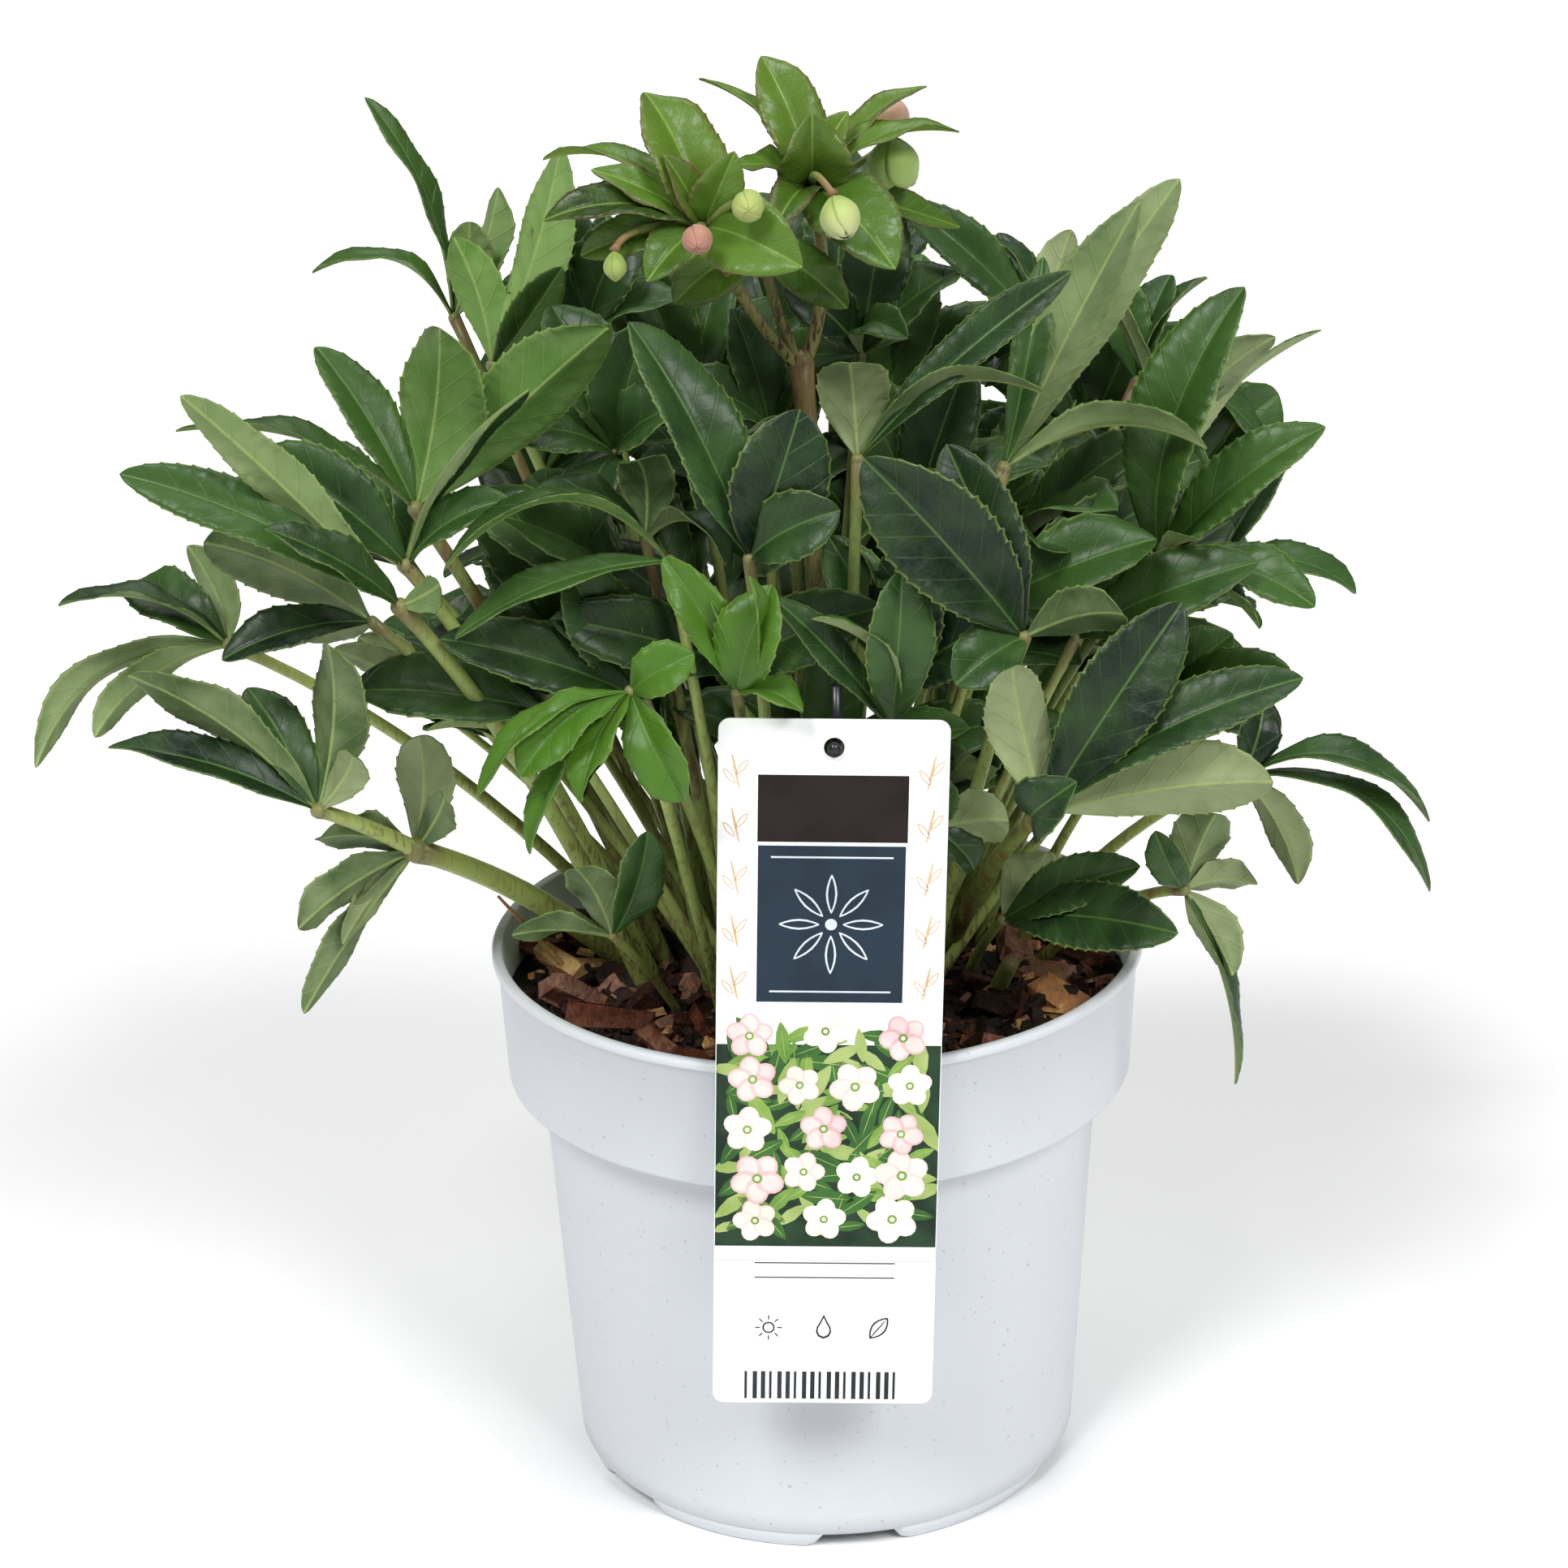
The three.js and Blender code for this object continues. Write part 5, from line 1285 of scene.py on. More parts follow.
# ---- Pot and soil ---------------------------------------------------------------------------------------
@dataclass
class NurseryPot:
    """Round stepped pot: tapered wall, collar, lip and notched foot."""

    rim_radius: float = 95.0
    height: float = 163.0
    base_radius: float = 75.4
    step_radius: float = 91.9
    step_height: float = 124.0
    wall_radius: float = 82.4
    lip_height: float = 2.6
    lip_depth: float = 1.4
    wall: float = 1.8
    floor_height: float = 6.5
    floor_thickness: float = 2.0
    foot_height: float = 5.6
    foot_inset: float = 2.4
    foot_width: float = 3.4
    notch_first: float = -84.0
    notch_top: float = 20.0
    notch_bottom: float = 27.0
    notch_height: float = 4.4
    notches: int = 6
    drain_ring: float = 48.0
    drain_radius: float = 5.0
    drains: int = 8
    segments: int = 180

    def profile(self) -> list[tuple[float, float]]:
        """Wall as (radius, height), from the foot's inner edge out, up, over the rim and down inside.

        Returns:
            The points. The small offsets under two millimetres round off its edges.
        """
        foot = self.base_radius - self.foot_inset
        lip_under = self.rim_radius - self.lip_depth
        top = self.height
        groove = self.foot_height + 0.45
        inner = self.wall
        return [
            (foot - self.foot_width, self.floor_height), (foot - self.foot_width, 0.5),
            (foot - self.foot_width + 0.5, 0.0), (foot - 0.6, 0.0), (foot, 0.5),
            (self.base_radius - 0.35, self.foot_height - 0.1),
            (self.base_radius - 0.45, self.foot_height + 0.15),
            (self.base_radius, groove), (self.base_radius + 0.4, 12.0),
            (self.wall_radius - 0.35, self.step_height - 3.0),
            (self.wall_radius + 0.4, self.step_height - 0.9),
            (self.wall_radius + 1.6, self.step_height), (self.step_radius - 1.0, self.step_height),
            (self.step_radius - 0.2, self.step_height + 0.4), (self.step_radius, self.step_height + 1.3),
            (lip_under - 0.15, top - self.lip_height - 0.3), (lip_under + 0.3, top - self.lip_height),
            (self.rim_radius - 0.35, top - self.lip_height),
            (self.rim_radius, top - self.lip_height + 0.4),
            (self.rim_radius, top - 0.7), (self.rim_radius - 0.6, top),
            (lip_under - inner + 0.5, top), (lip_under - inner, top - 0.6),
            (self.step_radius - inner, self.step_height + inner + 0.6),
            (self.wall_radius - inner, self.step_height + inner),
            (self.base_radius - inner, self.floor_height + self.floor_thickness),
        ]

    def notch_lift(self, angle: float, radius: float) -> float:
        """How far a notch lifts the foot's flat ring at an angle in degrees."""
        step = 360.0 / self.notches
        away = (angle - self.notch_first + step / 2.0) % step - step / 2.0
        arc = abs(math.radians(away)) * radius
        slope = (self.notch_bottom - self.notch_top) / 2.0
        return self.notch_height * min(max((self.notch_bottom / 2.0 - arc) / slope, 0.0), 1.0)

    def build(self) -> list[bpy.types.Object]:
        """Make the piece.

        Returns:
            The pot.
        """
        shop = Workshop()
        bm = shop.bm
        shop.turned(self.profile(), self.segments)
        for vert in bm.verts:
            if vert.co.z < 0.7:
                radius = math.hypot(vert.co.x, vert.co.y)
                vert.co.z += self.notch_lift(math.degrees(math.atan2(vert.co.y, vert.co.x)), radius)
        self.floor(bm)
        bmesh.ops.recalc_face_normals(bm, faces=bm.faces)
        piece = shop.finish("pot_fine", [POT_PLASTIC.build()])
        for edge in piece.data.edges:
            edge.use_edge_sharp = False
        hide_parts("pot")
        return [piece]

    def floor(self, bm: BMesh) -> None:
        """Close the wall with the drilled floor.

        Args:
            bm: The wall, open at its two inner rings.
        """
        for height in (self.floor_height, self.floor_height + self.floor_thickness):
            rim = [edge for edge in bm.edges if edge.is_boundary
                   and all(abs(vert.co.z - height) < 0.01 for vert in edge.verts)]
            rings = []
            for k in range(self.drains):
                angle = 2.0 * math.pi * k / self.drains
                where = Matrix.Translation((self.drain_ring * math.cos(angle),
                                            self.drain_ring * math.sin(angle), height))
                ring = bmesh.ops.create_circle(bm, cap_ends=False, radius=self.drain_radius,
                                               segments=24, matrix=where)["verts"]
                rings.extend(edges_at(ring))
            bmesh.ops.triangle_fill(bm, edges=[*rim, *rings], use_beauty=True)
        open_edges = [edge for edge in bm.edges if edge.is_boundary]
        for k in range(self.drains):
            angle = 2.0 * math.pi * k / self.drains
            centre = Vector((self.drain_ring * math.cos(angle), self.drain_ring * math.sin(angle), 0.0))
            hole = [edge for edge in open_edges
                    if all((vert.co.xy - centre.xy).length < self.drain_radius + 0.5 for vert in edge.verts)]
            bmesh.ops.bridge_loops(bm, edges=hole)


@dataclass
class Ground:
    """Soil with bark chips on it."""

    top: float = 148.0
    radius: float = 92.2
    floor: float = 9.0
    floor_radius: float = 73.5
    play: float = 0.4  # between the soil and the pot's wall
    segments: int = 96
    circles: int = 22
    crumbs: tuple[float, float] = (-1.6, 1.5)  # by how much a crumb lies lower or higher
    chips: int = 1250
    large_share: float = 0.27
    large: tuple[float, float, float] = (7.0, 21.0, 11.0)  # shortest, longest and commonest chip
    small: tuple[float, float, float] = (2.4, 8.0, 4.2)
    chip_width: tuple[float, float] = (0.25, 0.7)  # of its length
    chip_height: tuple[float, float] = (1.0, 3.6)
    big_height: float = 5.0
    big_rise: float = 2.6  # height of a chip's middle above the soil
    rise: tuple[float, float] = (-1.2, 1.9)
    tilt: tuple[float, float] = (0.55, 0.45)  # spread of the tilt about the length and the width, in radians
    ragged: float = 0.06  # share of its sides by which a corner is off
    bevel: float = 0.09  # share of its sides
    tones: tuple = (0.0, 0.0, 0.04, 0.08, 0.14, 0.2, 0.26, 0.34, 0.44, 0.56, 0.7, 0.92)  # fewer pale ones
    seed: int = 23

    def build(self) -> list[bpy.types.Object]:
        """Make the pieces.

        Returns:
            The soil and the layer of chips.
        """
        return [self.soil(), self.bark()]

    def soil(self) -> bpy.types.Object:
        """Make the crumbly body of the soil.

        Returns:
            The piece.
        """
        dice = random.Random(self.seed)
        shop = Workshop()
        pot = NurseryPot()
        ledge = pot.step_height + pot.wall
        edge, level = self.radius - 0.9, self.top - 1.6
        profile = [(0.0, self.floor), (self.floor_radius, self.floor),
                   (pot.wall_radius - pot.wall - self.play, ledge),
                   (pot.step_radius - pot.wall - self.play, ledge + 0.8), (edge, level)]
        profile += [(edge - edge * k / self.circles, level) for k in range(1, self.circles + 1)]
        shop.turned(profile, self.segments)
        for vert in shop.bm.verts:
            if vert.co.z > self.top - 2.0:
                radius = math.hypot(vert.co.x, vert.co.y)
                inward = min(1.0, max(0.0, (self.radius - 4.0 - radius) / 8.0))
                vert.co.z += dice.uniform(*self.crumbs) * inward + 1.5 * inward
                vert[shop.tint] = Vector((dice.random(), 0.0, 0.0))
        bmesh.ops.recalc_face_normals(shop.bm, faces=shop.bm.faces)
        piece = shop.finish("soil_fine", [SOIL_BARK.build()])
        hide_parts("soil")
        return piece

    def bark(self) -> bpy.types.Object:
        """Make the layer of chips: broken flat pieces that lie at all angles.

        Returns:
            The piece.
        """
        dice = random.Random(self.seed + 1)
        shop = Workshop()
        for k in range(self.chips):
            length = dice.triangular(*(self.large if dice.random() < self.large_share else self.small))
            distance = (self.radius - 4.0 - 0.4 * length) * math.sqrt(dice.random())
            angle = dice.uniform(0.0, 2.0 * math.pi)
            size = Vector((length, length * dice.uniform(*self.chip_width), dice.uniform(*self.chip_height)))
            tone = dice.choice(self.tones)
            if k < len(BIG_CHIPS):
                x, y, length, width, tone = BIG_CHIPS[k]
                distance, angle = math.hypot(x, y), math.atan2(y, x)
                size = Vector((length, width, self.big_height))
            cube = bmesh.ops.create_cube(shop.bm, size=1.0)["verts"]
            corners = bmesh.ops.bevel(shop.bm, geom=edges_at(cube), offset=self.bevel, segments=1,
                                      profile=0.5, affect="EDGES", material=-1)["verts"]
            turn = Quaternion((0.0, 0.0, 1.0), dice.uniform(0.0, math.pi))
            turn = turn @ Quaternion((1.0, 0.0, 0.0), dice.gauss(0.0, self.tilt[0]))
            turn = turn @ Quaternion((0.0, 1.0, 0.0), dice.gauss(0.0, self.tilt[1]))
            rise = self.big_rise if k < len(BIG_CHIPS) else dice.uniform(*self.rise)
            centre = Vector((distance * math.cos(angle), distance * math.sin(angle), self.top + rise))
            for vert in corners:
                local = Vector(part * side for part, side in zip(vert.co, size))
                local += Vector(dice.uniform(-self.ragged, self.ragged) * side
                                for side in (length, length, size.z * 3.0))
                vert.co = centre + turn @ local
                inside = min(1.0, (self.radius - 1.0) / math.hypot(vert.co.x, vert.co.y))
                vert.co.x, vert.co.y = inside * vert.co.x, inside * vert.co.y
                vert[shop.tint] = Vector((tone, 0.0, 0.0))
        bmesh.ops.recalc_face_normals(shop.bm, faces=shop.bm.faces)
        piece = shop.finish("bark_chips_fine", [CHIP_BARK.build()], smooth=False)
        return piece


@dataclass
class LoosePieces:
    """A dry straw and a cut leaf stub that stand in the soil."""

    def build(self) -> list[bpy.types.Object]:
        """Make the pieces.

        Returns:
            The straw and the stub.
        """
        made = []
        rows = (("straw", (-63, -4, 141), (-93, 3, 175), (1.3, 0.45), DRY_STRAW, "straw"),
                ("cut_stub", (50, -4, 139), (55, -27, 163), (2.7, 2.5), PETIOLE, "stem"))
        for name, start, end, radii, skin, slot in rows:
            shop = Workshop()
            first, last = Vector(start), Vector(end)
            shop.tube(Bend(first, (first + last) / 2.0, last), radii, 12, 12, 0)
            piece = shop.finish(f"{name}_fine", [skin.build()])
            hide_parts(name)
            made.append(piece)
        return made


# ---- Label and stake ------------------------------------------------------------------------------------
class Ink(Enum):
    """Printed colours of the label, each with the tone it wanders to."""

    WHITE = ("#f1f2f2", "#f6f6f5")
    BROWN = ("#1a1210", "#221815")
    NAVY = ("#1d2b38", "#213240")
    PALE = ("#c9d3dc", "#d8dfe5")
    TAN = ("#dcc3a0", "#d3b286")
    FOREST = ("#15271b", "#26402a")
    MOSS = ("#2f5a2b", "#41702f")
    LEAF = ("#5f8a3c", "#86a94e")
    OLIVE = ("#8fa75a", "#a9bb74")
    ROSE = ("#dba9ad", "#e9c3c1")
    BLUSH = ("#ecc8c8", "#f3dcd6")
    CREAM = ("#eeedcf", "#f5f1e0")
    GREY = ("#26292d", "#303438")


@dataclass
class PlantLabel:
    """Hanging card with a plain print: blocks, a rosette, a bed of blossoms, three signs and stripes.

    Heights on the card are from its foot, and distances across it from its middle.
    """

    top: Vector = field(default_factory=lambda: Vector((5.0, -89.0, 259.7)))
    foot: Vector = field(default_factory=lambda: Vector((-2.2, -102.8, 66.1)))
    width: float = 60.0
    thickness: float = 0.6
    corner: float = 3.0
    hole: float = 2.7
    hole_down: float = 7.6
    margin: float = 0.2  # bare edge that no ink reaches past
    ink_first: float = 0.03  # how far the first layer of ink stands off, and each next one
    ink_layer: float = 0.012
    bar: tuple = (-19.6, 19.6, 161.0, 179.2)  # brown bar and blue block: left, right, low, high
    panel: tuple = (-19.4, 19.2, 116.7, 160.0)
    panel_lines: tuple = (119.4, 156.6)
    rosette: float = 138.4
    petals: int = 8
    bed: tuple[float, float] = (46.6, 113.7)
    bed_leaves: int = 110
    rules: tuple = (41.5, 37.2)
    signs_height: float = 22.5
    stripes: int = 19
    stripe_pitch: float = 2.25
    stripe_zone: tuple[float, float] = (1.2, 9.4)
    seed: int = 31

    def frame(self) -> Matrix:
        """Matrix from the card's own plane, x across and y up from its foot, to the plant."""
        up = (self.top - self.foot).normalized()
        front = (Vector((0.0, -1.0, 0.0)) + up * up.y).normalized()
        across = up.cross(front)
        turn = Matrix((across, up, front)).transposed().to_4x4()
        return Matrix.Translation(self.foot) @ turn

    def card(self, shop: Workshop) -> None:
        """Add the card with its rounded corners and its hole.

        Args:
            shop: The mesh in the making.
        """
        bm = shop.bm
        height = (self.top - self.foot).length
        middle = Matrix.Translation((0.0, height / 2.0, -self.thickness / 2.0))
        plate = bmesh.ops.create_grid(bm, x_segments=1, y_segments=1, size=0.5, matrix=middle)["verts"]
        bmesh.ops.scale(bm, vec=(self.width, height, 1.0), space=middle.inverted(), verts=plate)
        bmesh.ops.bevel(bm, geom=plate, offset=self.corner, segments=6, profile=0.5, affect="VERTICES",
                        material=-1)
        bmesh.ops.delete(bm, geom=bm.faces[:], context="FACES_ONLY")
        where = Matrix.Translation((0.0, height - self.hole_down, -self.thickness / 2.0))
        bmesh.ops.create_circle(bm, cap_ends=False, radius=self.hole, segments=28, matrix=where)
        bmesh.ops.triangle_fill(bm, edges=bm.edges, use_beauty=True)
        made = bmesh.ops.extrude_face_region(bm, geom=bm.faces, use_keep_orig=True)["geom"]
        bmesh.ops.translate(bm, vec=(0.0, 0.0, self.thickness),
                            verts=[item for item in made if isinstance(item, BMVert)])
        bmesh.ops.recalc_face_normals(bm, faces=bm.faces)

    def print_shape(self, shop: Workshop, ink: Ink, outline: list[tuple[float, float]],
                    raised: int = 0) -> None:
        """Print one flat shape.

        Args:
            shop: The mesh in the making.
            ink: Its colour.
            outline: Its corners in the card's plane, anticlockwise.
            raised: How many layers of ink lie under it.
        """
        height = self.thickness / 2.0 + self.ink_first + self.ink_layer * raised
        ring = bmesh.ops.create_circle(shop.bm, cap_ends=True, radius=1.0, segments=len(outline))["verts"]
        for vert, (x, y) in zip(ring, outline):
            vert.co = Vector((x, y, height))
        for face in faces_at(ring):
            face.material_index = list(Ink).index(ink)
            face.normal_update()
            if face.normal.z < 0.0:
                face.normal_flip()

    def block(self, shop: Workshop, ink: Ink, left: float, right: float, low: float, high: float,
              raised: int = 0) -> None:
        """Print a rectangle."""
        self.print_shape(shop, ink, [(left, low), (right, low), (right, high), (left, high)], raised)

    def oval(self, shop: Workshop, ink: Ink, x: float, y: float, long: float, wide: float, turn: float,
             raised: int = 0, sides: int = 14, point: float = 0.0) -> None:
        """Print an oval petal or leaf.

        Args:
            shop: The mesh in the making.
            ink: Its colour.
            x: Middle across.
            y: Middle up.
            long: Half its length.
            wide: Half its width.
            turn: Angle in degrees.
            raised: How many layers of ink lie under it.
            sides: Corners.
            point: How much its ends are drawn out.
        """
        cos, sin = polar(1.0, turn)
        outline = []
        for k in range(sides):
            angle = 2.0 * math.pi * k / sides
            a = long * math.cos(angle)
            b = wide * math.sin(angle) * (1.0 - point * math.cos(angle) ** 2)
            edge = self.width / 2.0 - self.margin
            outline.append((min(max(x + a * cos - b * sin, -edge), edge), y + a * sin + b * cos))
        self.print_shape(shop, ink, outline, raised)

    def blossoms(self, shop: Workshop, low: float, high: float) -> None:
        """Print the picture zone: big pale open blossoms over leaves on dark green, in seeded places.

        Args:
            shop: The mesh in the making.
            low: Lower edge.
            high: Upper edge.
        """
        dice = random.Random(self.seed)
        half = self.width / 2.0
        edge = half - self.margin
        self.block(shop, Ink.FOREST, -edge, edge, low, high - 9.0)
        for k in range(self.bed_leaves):
            x = -half + 3.0 + (self.width - 6.0) * ((0.618034 * k) % 1.0)
            y = low + 5.5 + (high - low - 11.0) * k / self.bed_leaves
            long, turn = dice.uniform(4.0, 7.5), dice.uniform(0.0, 180.0)
            ink = dice.choice((Ink.MOSS, Ink.MOSS, Ink.LEAF, Ink.OLIVE))
            self.oval(shop, ink, x, y, long, 0.34 * long, turn, 1 + k % 3, 12, 0.6)
            self.oval(shop, Ink.OLIVE, x, y, 0.86 * long, 0.12, turn, 5, 6)
        layer = 6
        for row in range(5):
            for column in range(3 + row % 2):
                x = -half + 10.0 + (19.5 if row % 2 == 0 else 13.5) * column + dice.uniform(-1.6, 1.6)
                y = low + 7.5 + (high - low - 14.0) * row / 4.0 + dice.uniform(-1.5, 1.5)
                x = min(max(x, -half + 6.4), half - 6.4)
                size, start = dice.uniform(5.4, 7.2), dice.uniform(0.0, 72.0)
                ink, light = dice.choice(((Ink.BLUSH, Ink.CREAM), (Ink.CREAM, Ink.WHITE),
                                          (Ink.ROSE, Ink.BLUSH)))
                for k in range(5):
                    turn = start + 72.0 * k
                    cos, sin = polar(1.0, turn)
                    near, far = 0.5 * size, 0.56 * size
                    self.oval(shop, ink, x + near * cos, y + near * sin, 0.56 * size, 0.46 * size, turn,
                              layer + 2 * k)
                    self.oval(shop, light, x + far * cos, y + far * sin, 0.42 * size, 0.35 * size, turn,
                              layer + 2 * k + 1, 14, 0.2)
                self.oval(shop, Ink.LEAF, x, y, 0.2 * size, 0.2 * size, 0.0, layer + 11)
                self.oval(shop, Ink.CREAM, x, y, 0.1 * size, 0.1 * size, 0.0, layer + 12)
        self.block(shop, Ink.WHITE, -edge, edge, low - 4.0, low, 20)

    def artwork(self, shop: Workshop) -> None:
        """Print everything on the card's face.

        Args:
            shop: The mesh in the making.
        """
        half = self.width / 2.0
        for side in (-1.0, 1.0):
            for k in range(5):
                x, y = side * (half - 4.6), 122.0 + 14.5 * k
                self.oval(shop, Ink.TAN, x, y, 5.2, 0.35, 90.0 - side * 12.0, 0, 10)
                for lean in (-1.0, 1.0):
                    middle = (x + 1.7 * lean, y + 1.2 * lean)
                    self.oval(shop, Ink.TAN, *middle, 2.6, 0.9, 52.0 * lean, 0, 12, 0.5)
                    self.oval(shop, Ink.WHITE, *middle, 2.1, 0.55, 52.0 * lean, 1, 12, 0.5)
        self.block(shop, Ink.BROWN, *self.bar)
        self.block(shop, Ink.NAVY, *self.panel)
        for k in range(self.petals):
            turn = 360.0 * k / self.petals
            x, y = polar(8.4, turn)
            self.oval(shop, Ink.PALE, x, self.rosette + y, 5.4, 1.5, turn, 1, 16, 0.55)
            self.oval(shop, Ink.NAVY, x, self.rosette + y, 4.5, 0.95, turn, 2, 16, 0.55)
        self.oval(shop, Ink.PALE, 0.0, self.rosette, 1.6, 1.6, 0.0, 1)
        for low in self.panel_lines:
            self.block(shop, Ink.PALE, -16.0, 16.0, low, low + 0.5, 1)
        self.blossoms(shop, *self.bed)
        for low in self.rules:
            self.block(shop, Ink.GREY, -19.0, 19.0, low, low + 0.35)
        self.signs(shop, self.signs_height)
        for k in range(self.stripes):
            left = -21.4 + self.stripe_pitch * k
            self.block(shop, Ink.GREY, left, left + (1.2 if k % 3 else 0.7), *self.stripe_zone)

    def signs(self, shop: Workshop, height: float) -> None:
        """Print three small plain signs: a sun, a drop and a leaf.

        Args:
            shop: The mesh in the making.
            height: Their height above the card's foot.
        """
        self.oval(shop, Ink.GREY, -15.0, height, 1.7, 1.7, 0.0, 0, 20)
        self.oval(shop, Ink.WHITE, -15.0, height, 1.25, 1.25, 0.0, 1, 20)
        for k in range(8):
            turn = 45.0 * k
            x, y = polar(3.0, turn)
            self.oval(shop, Ink.GREY, x - 15.0, height + y, 0.8, 0.2, turn, 0, 8)
        drop = [(0.0, 4.0), (-0.9, 2.0), (-1.9, 0.2), (-2.1, -1.2), (-1.5, -2.6), (0.0, -3.3), (1.5, -2.6),
                (2.1, -1.2), (1.9, 0.2), (0.9, 2.0)]
        self.print_shape(shop, Ink.GREY, [(x, height + y) for x, y in drop])
        self.print_shape(shop, Ink.WHITE, [(0.76 * x, height - 0.1 + 0.76 * y) for x, y in drop], 1)
        self.oval(shop, Ink.GREY, 15.0, height, 3.9, 2.1, 52.0, 0, 18, 0.5)
        self.oval(shop, Ink.WHITE, 15.0, height, 3.3, 1.6, 52.0, 1, 18, 0.5)
        self.oval(shop, Ink.GREY, 14.6, height - 0.5, 4.0, 0.2, 52.0, 2, 8)

    def build(self) -> list[bpy.types.Object]:
        """Make the piece.

        Returns:
            The label.
        """
        shop = Workshop()
        self.card(shop)
        self.artwork(shop)
        bmesh.ops.transform(shop.bm, matrix=self.frame(), verts=shop.bm.verts)
        inks = [PrintedCard(f"print, {ink.name.lower()}", *ink.value).build() for ink in Ink]
        piece = shop.finish("label_fine", inks, smooth=False)
        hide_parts("label")
        return [piece]


@dataclass
class Stake:
    """Thin rod that stands in the soil, with the peg that the label hangs on."""

    foot: Vector = field(default_factory=lambda: Vector((5.2, -85.6, 129.0)))
    head: Vector = field(default_factory=lambda: Vector((5.5, -86.6, 268.0)))
    radius: float = 1.6
    taper: float = 0.7  # radius at the foot over the radius at the head
    peg: float = 1.9  # radius of the peg's head
    peg_shaft: float = 0.86  # of that
    reach: float = 5.5

    def build(self) -> list[bpy.types.Object]:
        """Make the piece.

        Returns:
            The stake.
        """
        shop = Workshop()
        card = PlantLabel()
        hole = card.top.lerp(card.foot, card.hole_down / (card.top - card.foot).length)
        rod = Bend(self.foot, (self.foot + self.head) / 2.0, self.head)
        shop.tube(rod, (self.radius * self.taper, self.radius), 10, 18, 0)
        back = Vector((hole.x, self.head.y, hole.z))
        front = back + Vector((0.0, -self.reach, 0.0))
        shaft = self.peg * self.peg_shaft
        peg = bmesh.ops.create_cone(shop.bm, cap_ends=True, segments=24, radius1=shaft, radius2=shaft,
                                    depth=self.reach - 0.3)["verts"]
        turn = Matrix.Rotation(math.radians(90.0), 4, "X")
        bmesh.ops.transform(shop.bm, matrix=Matrix.Translation((back + front) / 2.0) @ turn, verts=peg)
        cap = shop.lump(front + Vector((0.0, 0.9, 0.0)), self.peg, 0, Vector((1.0, 0.46, 1.0)))
        bmesh.ops.recalc_face_normals(shop.bm, faces=faces_at(cap))
        piece = shop.finish("stake_fine", [STAKE_PLASTIC.build()])
        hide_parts("stake")
        return [piece]


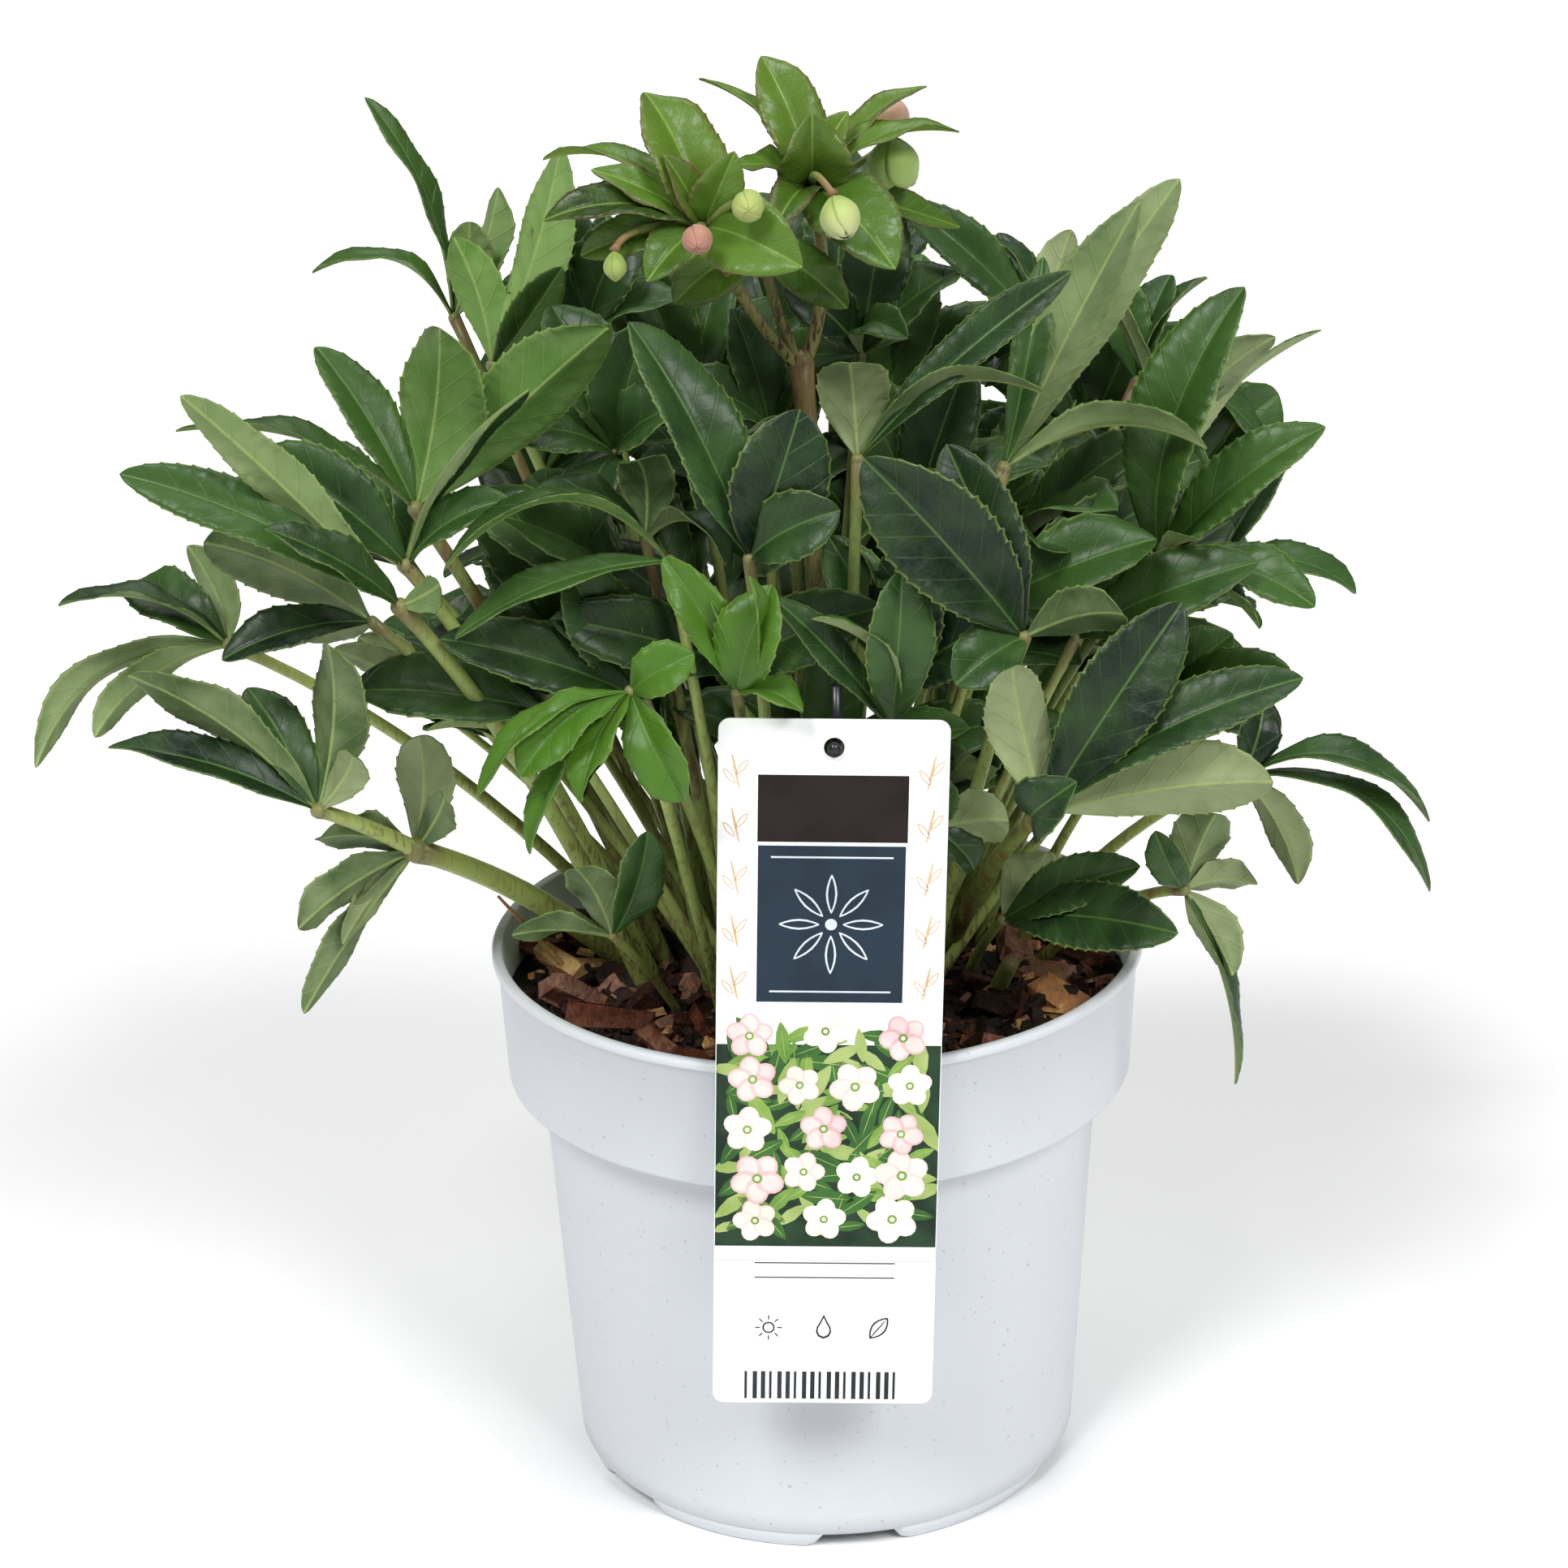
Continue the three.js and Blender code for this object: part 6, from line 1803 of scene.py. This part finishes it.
# ---- Studio ---------------------------------------------------------------------------------------------
@dataclass
class Studio:
    """Camera, soft lights, pale surround and floor."""

    floor_size: float = 60.0  # metres
    floor_colour: str = "#f4f4f4"
    world_colour: str = "#fbfcff"
    world_strength: float = 0.17
    suns: tuple = (("left", (-0.9, -1.35, 1.9), 2.0, 18.0), ("right", (1.0, -1.35, 1.55), 1.8, 20.0),
                   ("top", (0.2, 0.9, 2.2), 0.95, 36.0))  # name, where it shines from, strength, softness

    def camera(self) -> None:
        """Place the camera."""
        axis = sum(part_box("pot"), Vector()) / 2.0
        tilt, roll = math.radians(CAMERA_TILT), math.radians(CAMERA_ROLL)
        ahead = Vector((0.0, math.cos(tilt), -math.sin(tilt)))
        up = Vector((0.0, math.sin(tilt), math.cos(tilt)))
        right = Vector((1.0, 0.0, 0.0))
        level = right * math.cos(roll) + up * math.sin(roll)
        upright = up * math.cos(roll) - right * math.sin(roll)
        turn = Matrix((level, upright, -ahead)).transposed().to_4x4()
        data = bpy.data.cameras.new("camera")
        data.sensor_width = SENSOR
        data.lens = SENSOR * FOCAL_PIXELS / IMAGE_PIXELS
        data.clip_start = 0.01
        data.clip_end = 100.0
        camera = bpy.data.objects.new("camera", data)
        camera.matrix_world = Matrix.Translation(Vector((axis.x, axis.y, 0.0)) + CAMERA_PLACE * MM) @ turn
        bpy.context.scene.collection.objects.link(camera)
        bpy.context.scene.camera = camera

    def sun(self, name: str, place: Vector, strength: float, softness: float) -> None:
        """Add a soft far light.

        Args:
            name: Its name.
            place: Direction that it comes from.
            strength: Its strength.
            softness: Angle that it fills, in degrees.
        """
        data = bpy.data.lights.new(name, "SUN")
        data.energy = strength
        data.angle = math.radians(softness)
        lamp = bpy.data.objects.new(name, data)
        aim = (-place).to_track_quat("-Z", "Y").to_matrix().to_4x4()
        lamp.matrix_world = Matrix.Translation(place) @ aim
        bpy.context.scene.collection.objects.link(lamp)

    def build(self) -> None:
        """Set up the studio."""
        scene = bpy.context.scene
        scene.view_settings.view_transform = "Standard"
        world = bpy.data.worlds.new("studio")
        scene.world = world
        world.use_nodes = True
        background = world.node_tree.nodes["Background"]
        background.inputs["Color"].default_value = linear(self.world_colour)
        background.inputs["Strength"].default_value = self.world_strength
        bm = bmesh.new()
        bmesh.ops.create_grid(bm, x_segments=1, y_segments=1, size=self.floor_size / 2.0)
        mesh = bpy.data.meshes.new("floor")
        bm.to_mesh(mesh)
        bm.free()
        sheet = NodeSheet("floor, matt paper")
        mesh.materials.append(sheet.surface({"Base Color": linear(self.floor_colour), "Roughness": 0.9}))
        floor = bpy.data.objects.new("floor", mesh)
        scene.collection.objects.link(floor)
        floor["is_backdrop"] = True
        for name, place, strength, softness in self.suns:
            self.sun(name, Vector(place), strength, softness)


def flowers() -> list[Flower]:
    """Every flower, with its skin and how far it is open.

    Returns:
        The flowers.
    """
    skins = {"flower_pink": (PINK, 0.0), "flower_green_small": (LIME, 0.0), "flower_hanging": (LIME, 0.0),
             "flower_back": (ROSE, 0.2), "flower_bell": (GREEN, 0.72), "flower_cream": (CREAM, 0.25)}
    return [Flower(name, Vector(base), Vector(tip), diameter, *skins[name])
            for name, _, _, base, tip, diameter in FLOWERS]


def main() -> None:
    """Load the frame, build every piece round it within the frame's bounds and log each piece's faces."""
    logging.basicConfig(level=logging.INFO, format="%(name)s: %(message)s")
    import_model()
    before = [list(corner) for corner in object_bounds()]
    Workshop.room = tuple(Vector(corner) for corner in before)
    studio = Studio()
    studio.camera()
    for part in (Foliage(), InnerLeaves(), FlowerStem(), *flowers(), NurseryPot(), Ground(), LoosePieces(),
                 PlantLabel(), Stake()):
        for piece in part.build():
            LOG.info("%s: %d faces", piece.name, len(piece.data.polygons))
    studio.build()
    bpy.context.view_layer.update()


if __name__ == "__main__":
    main()
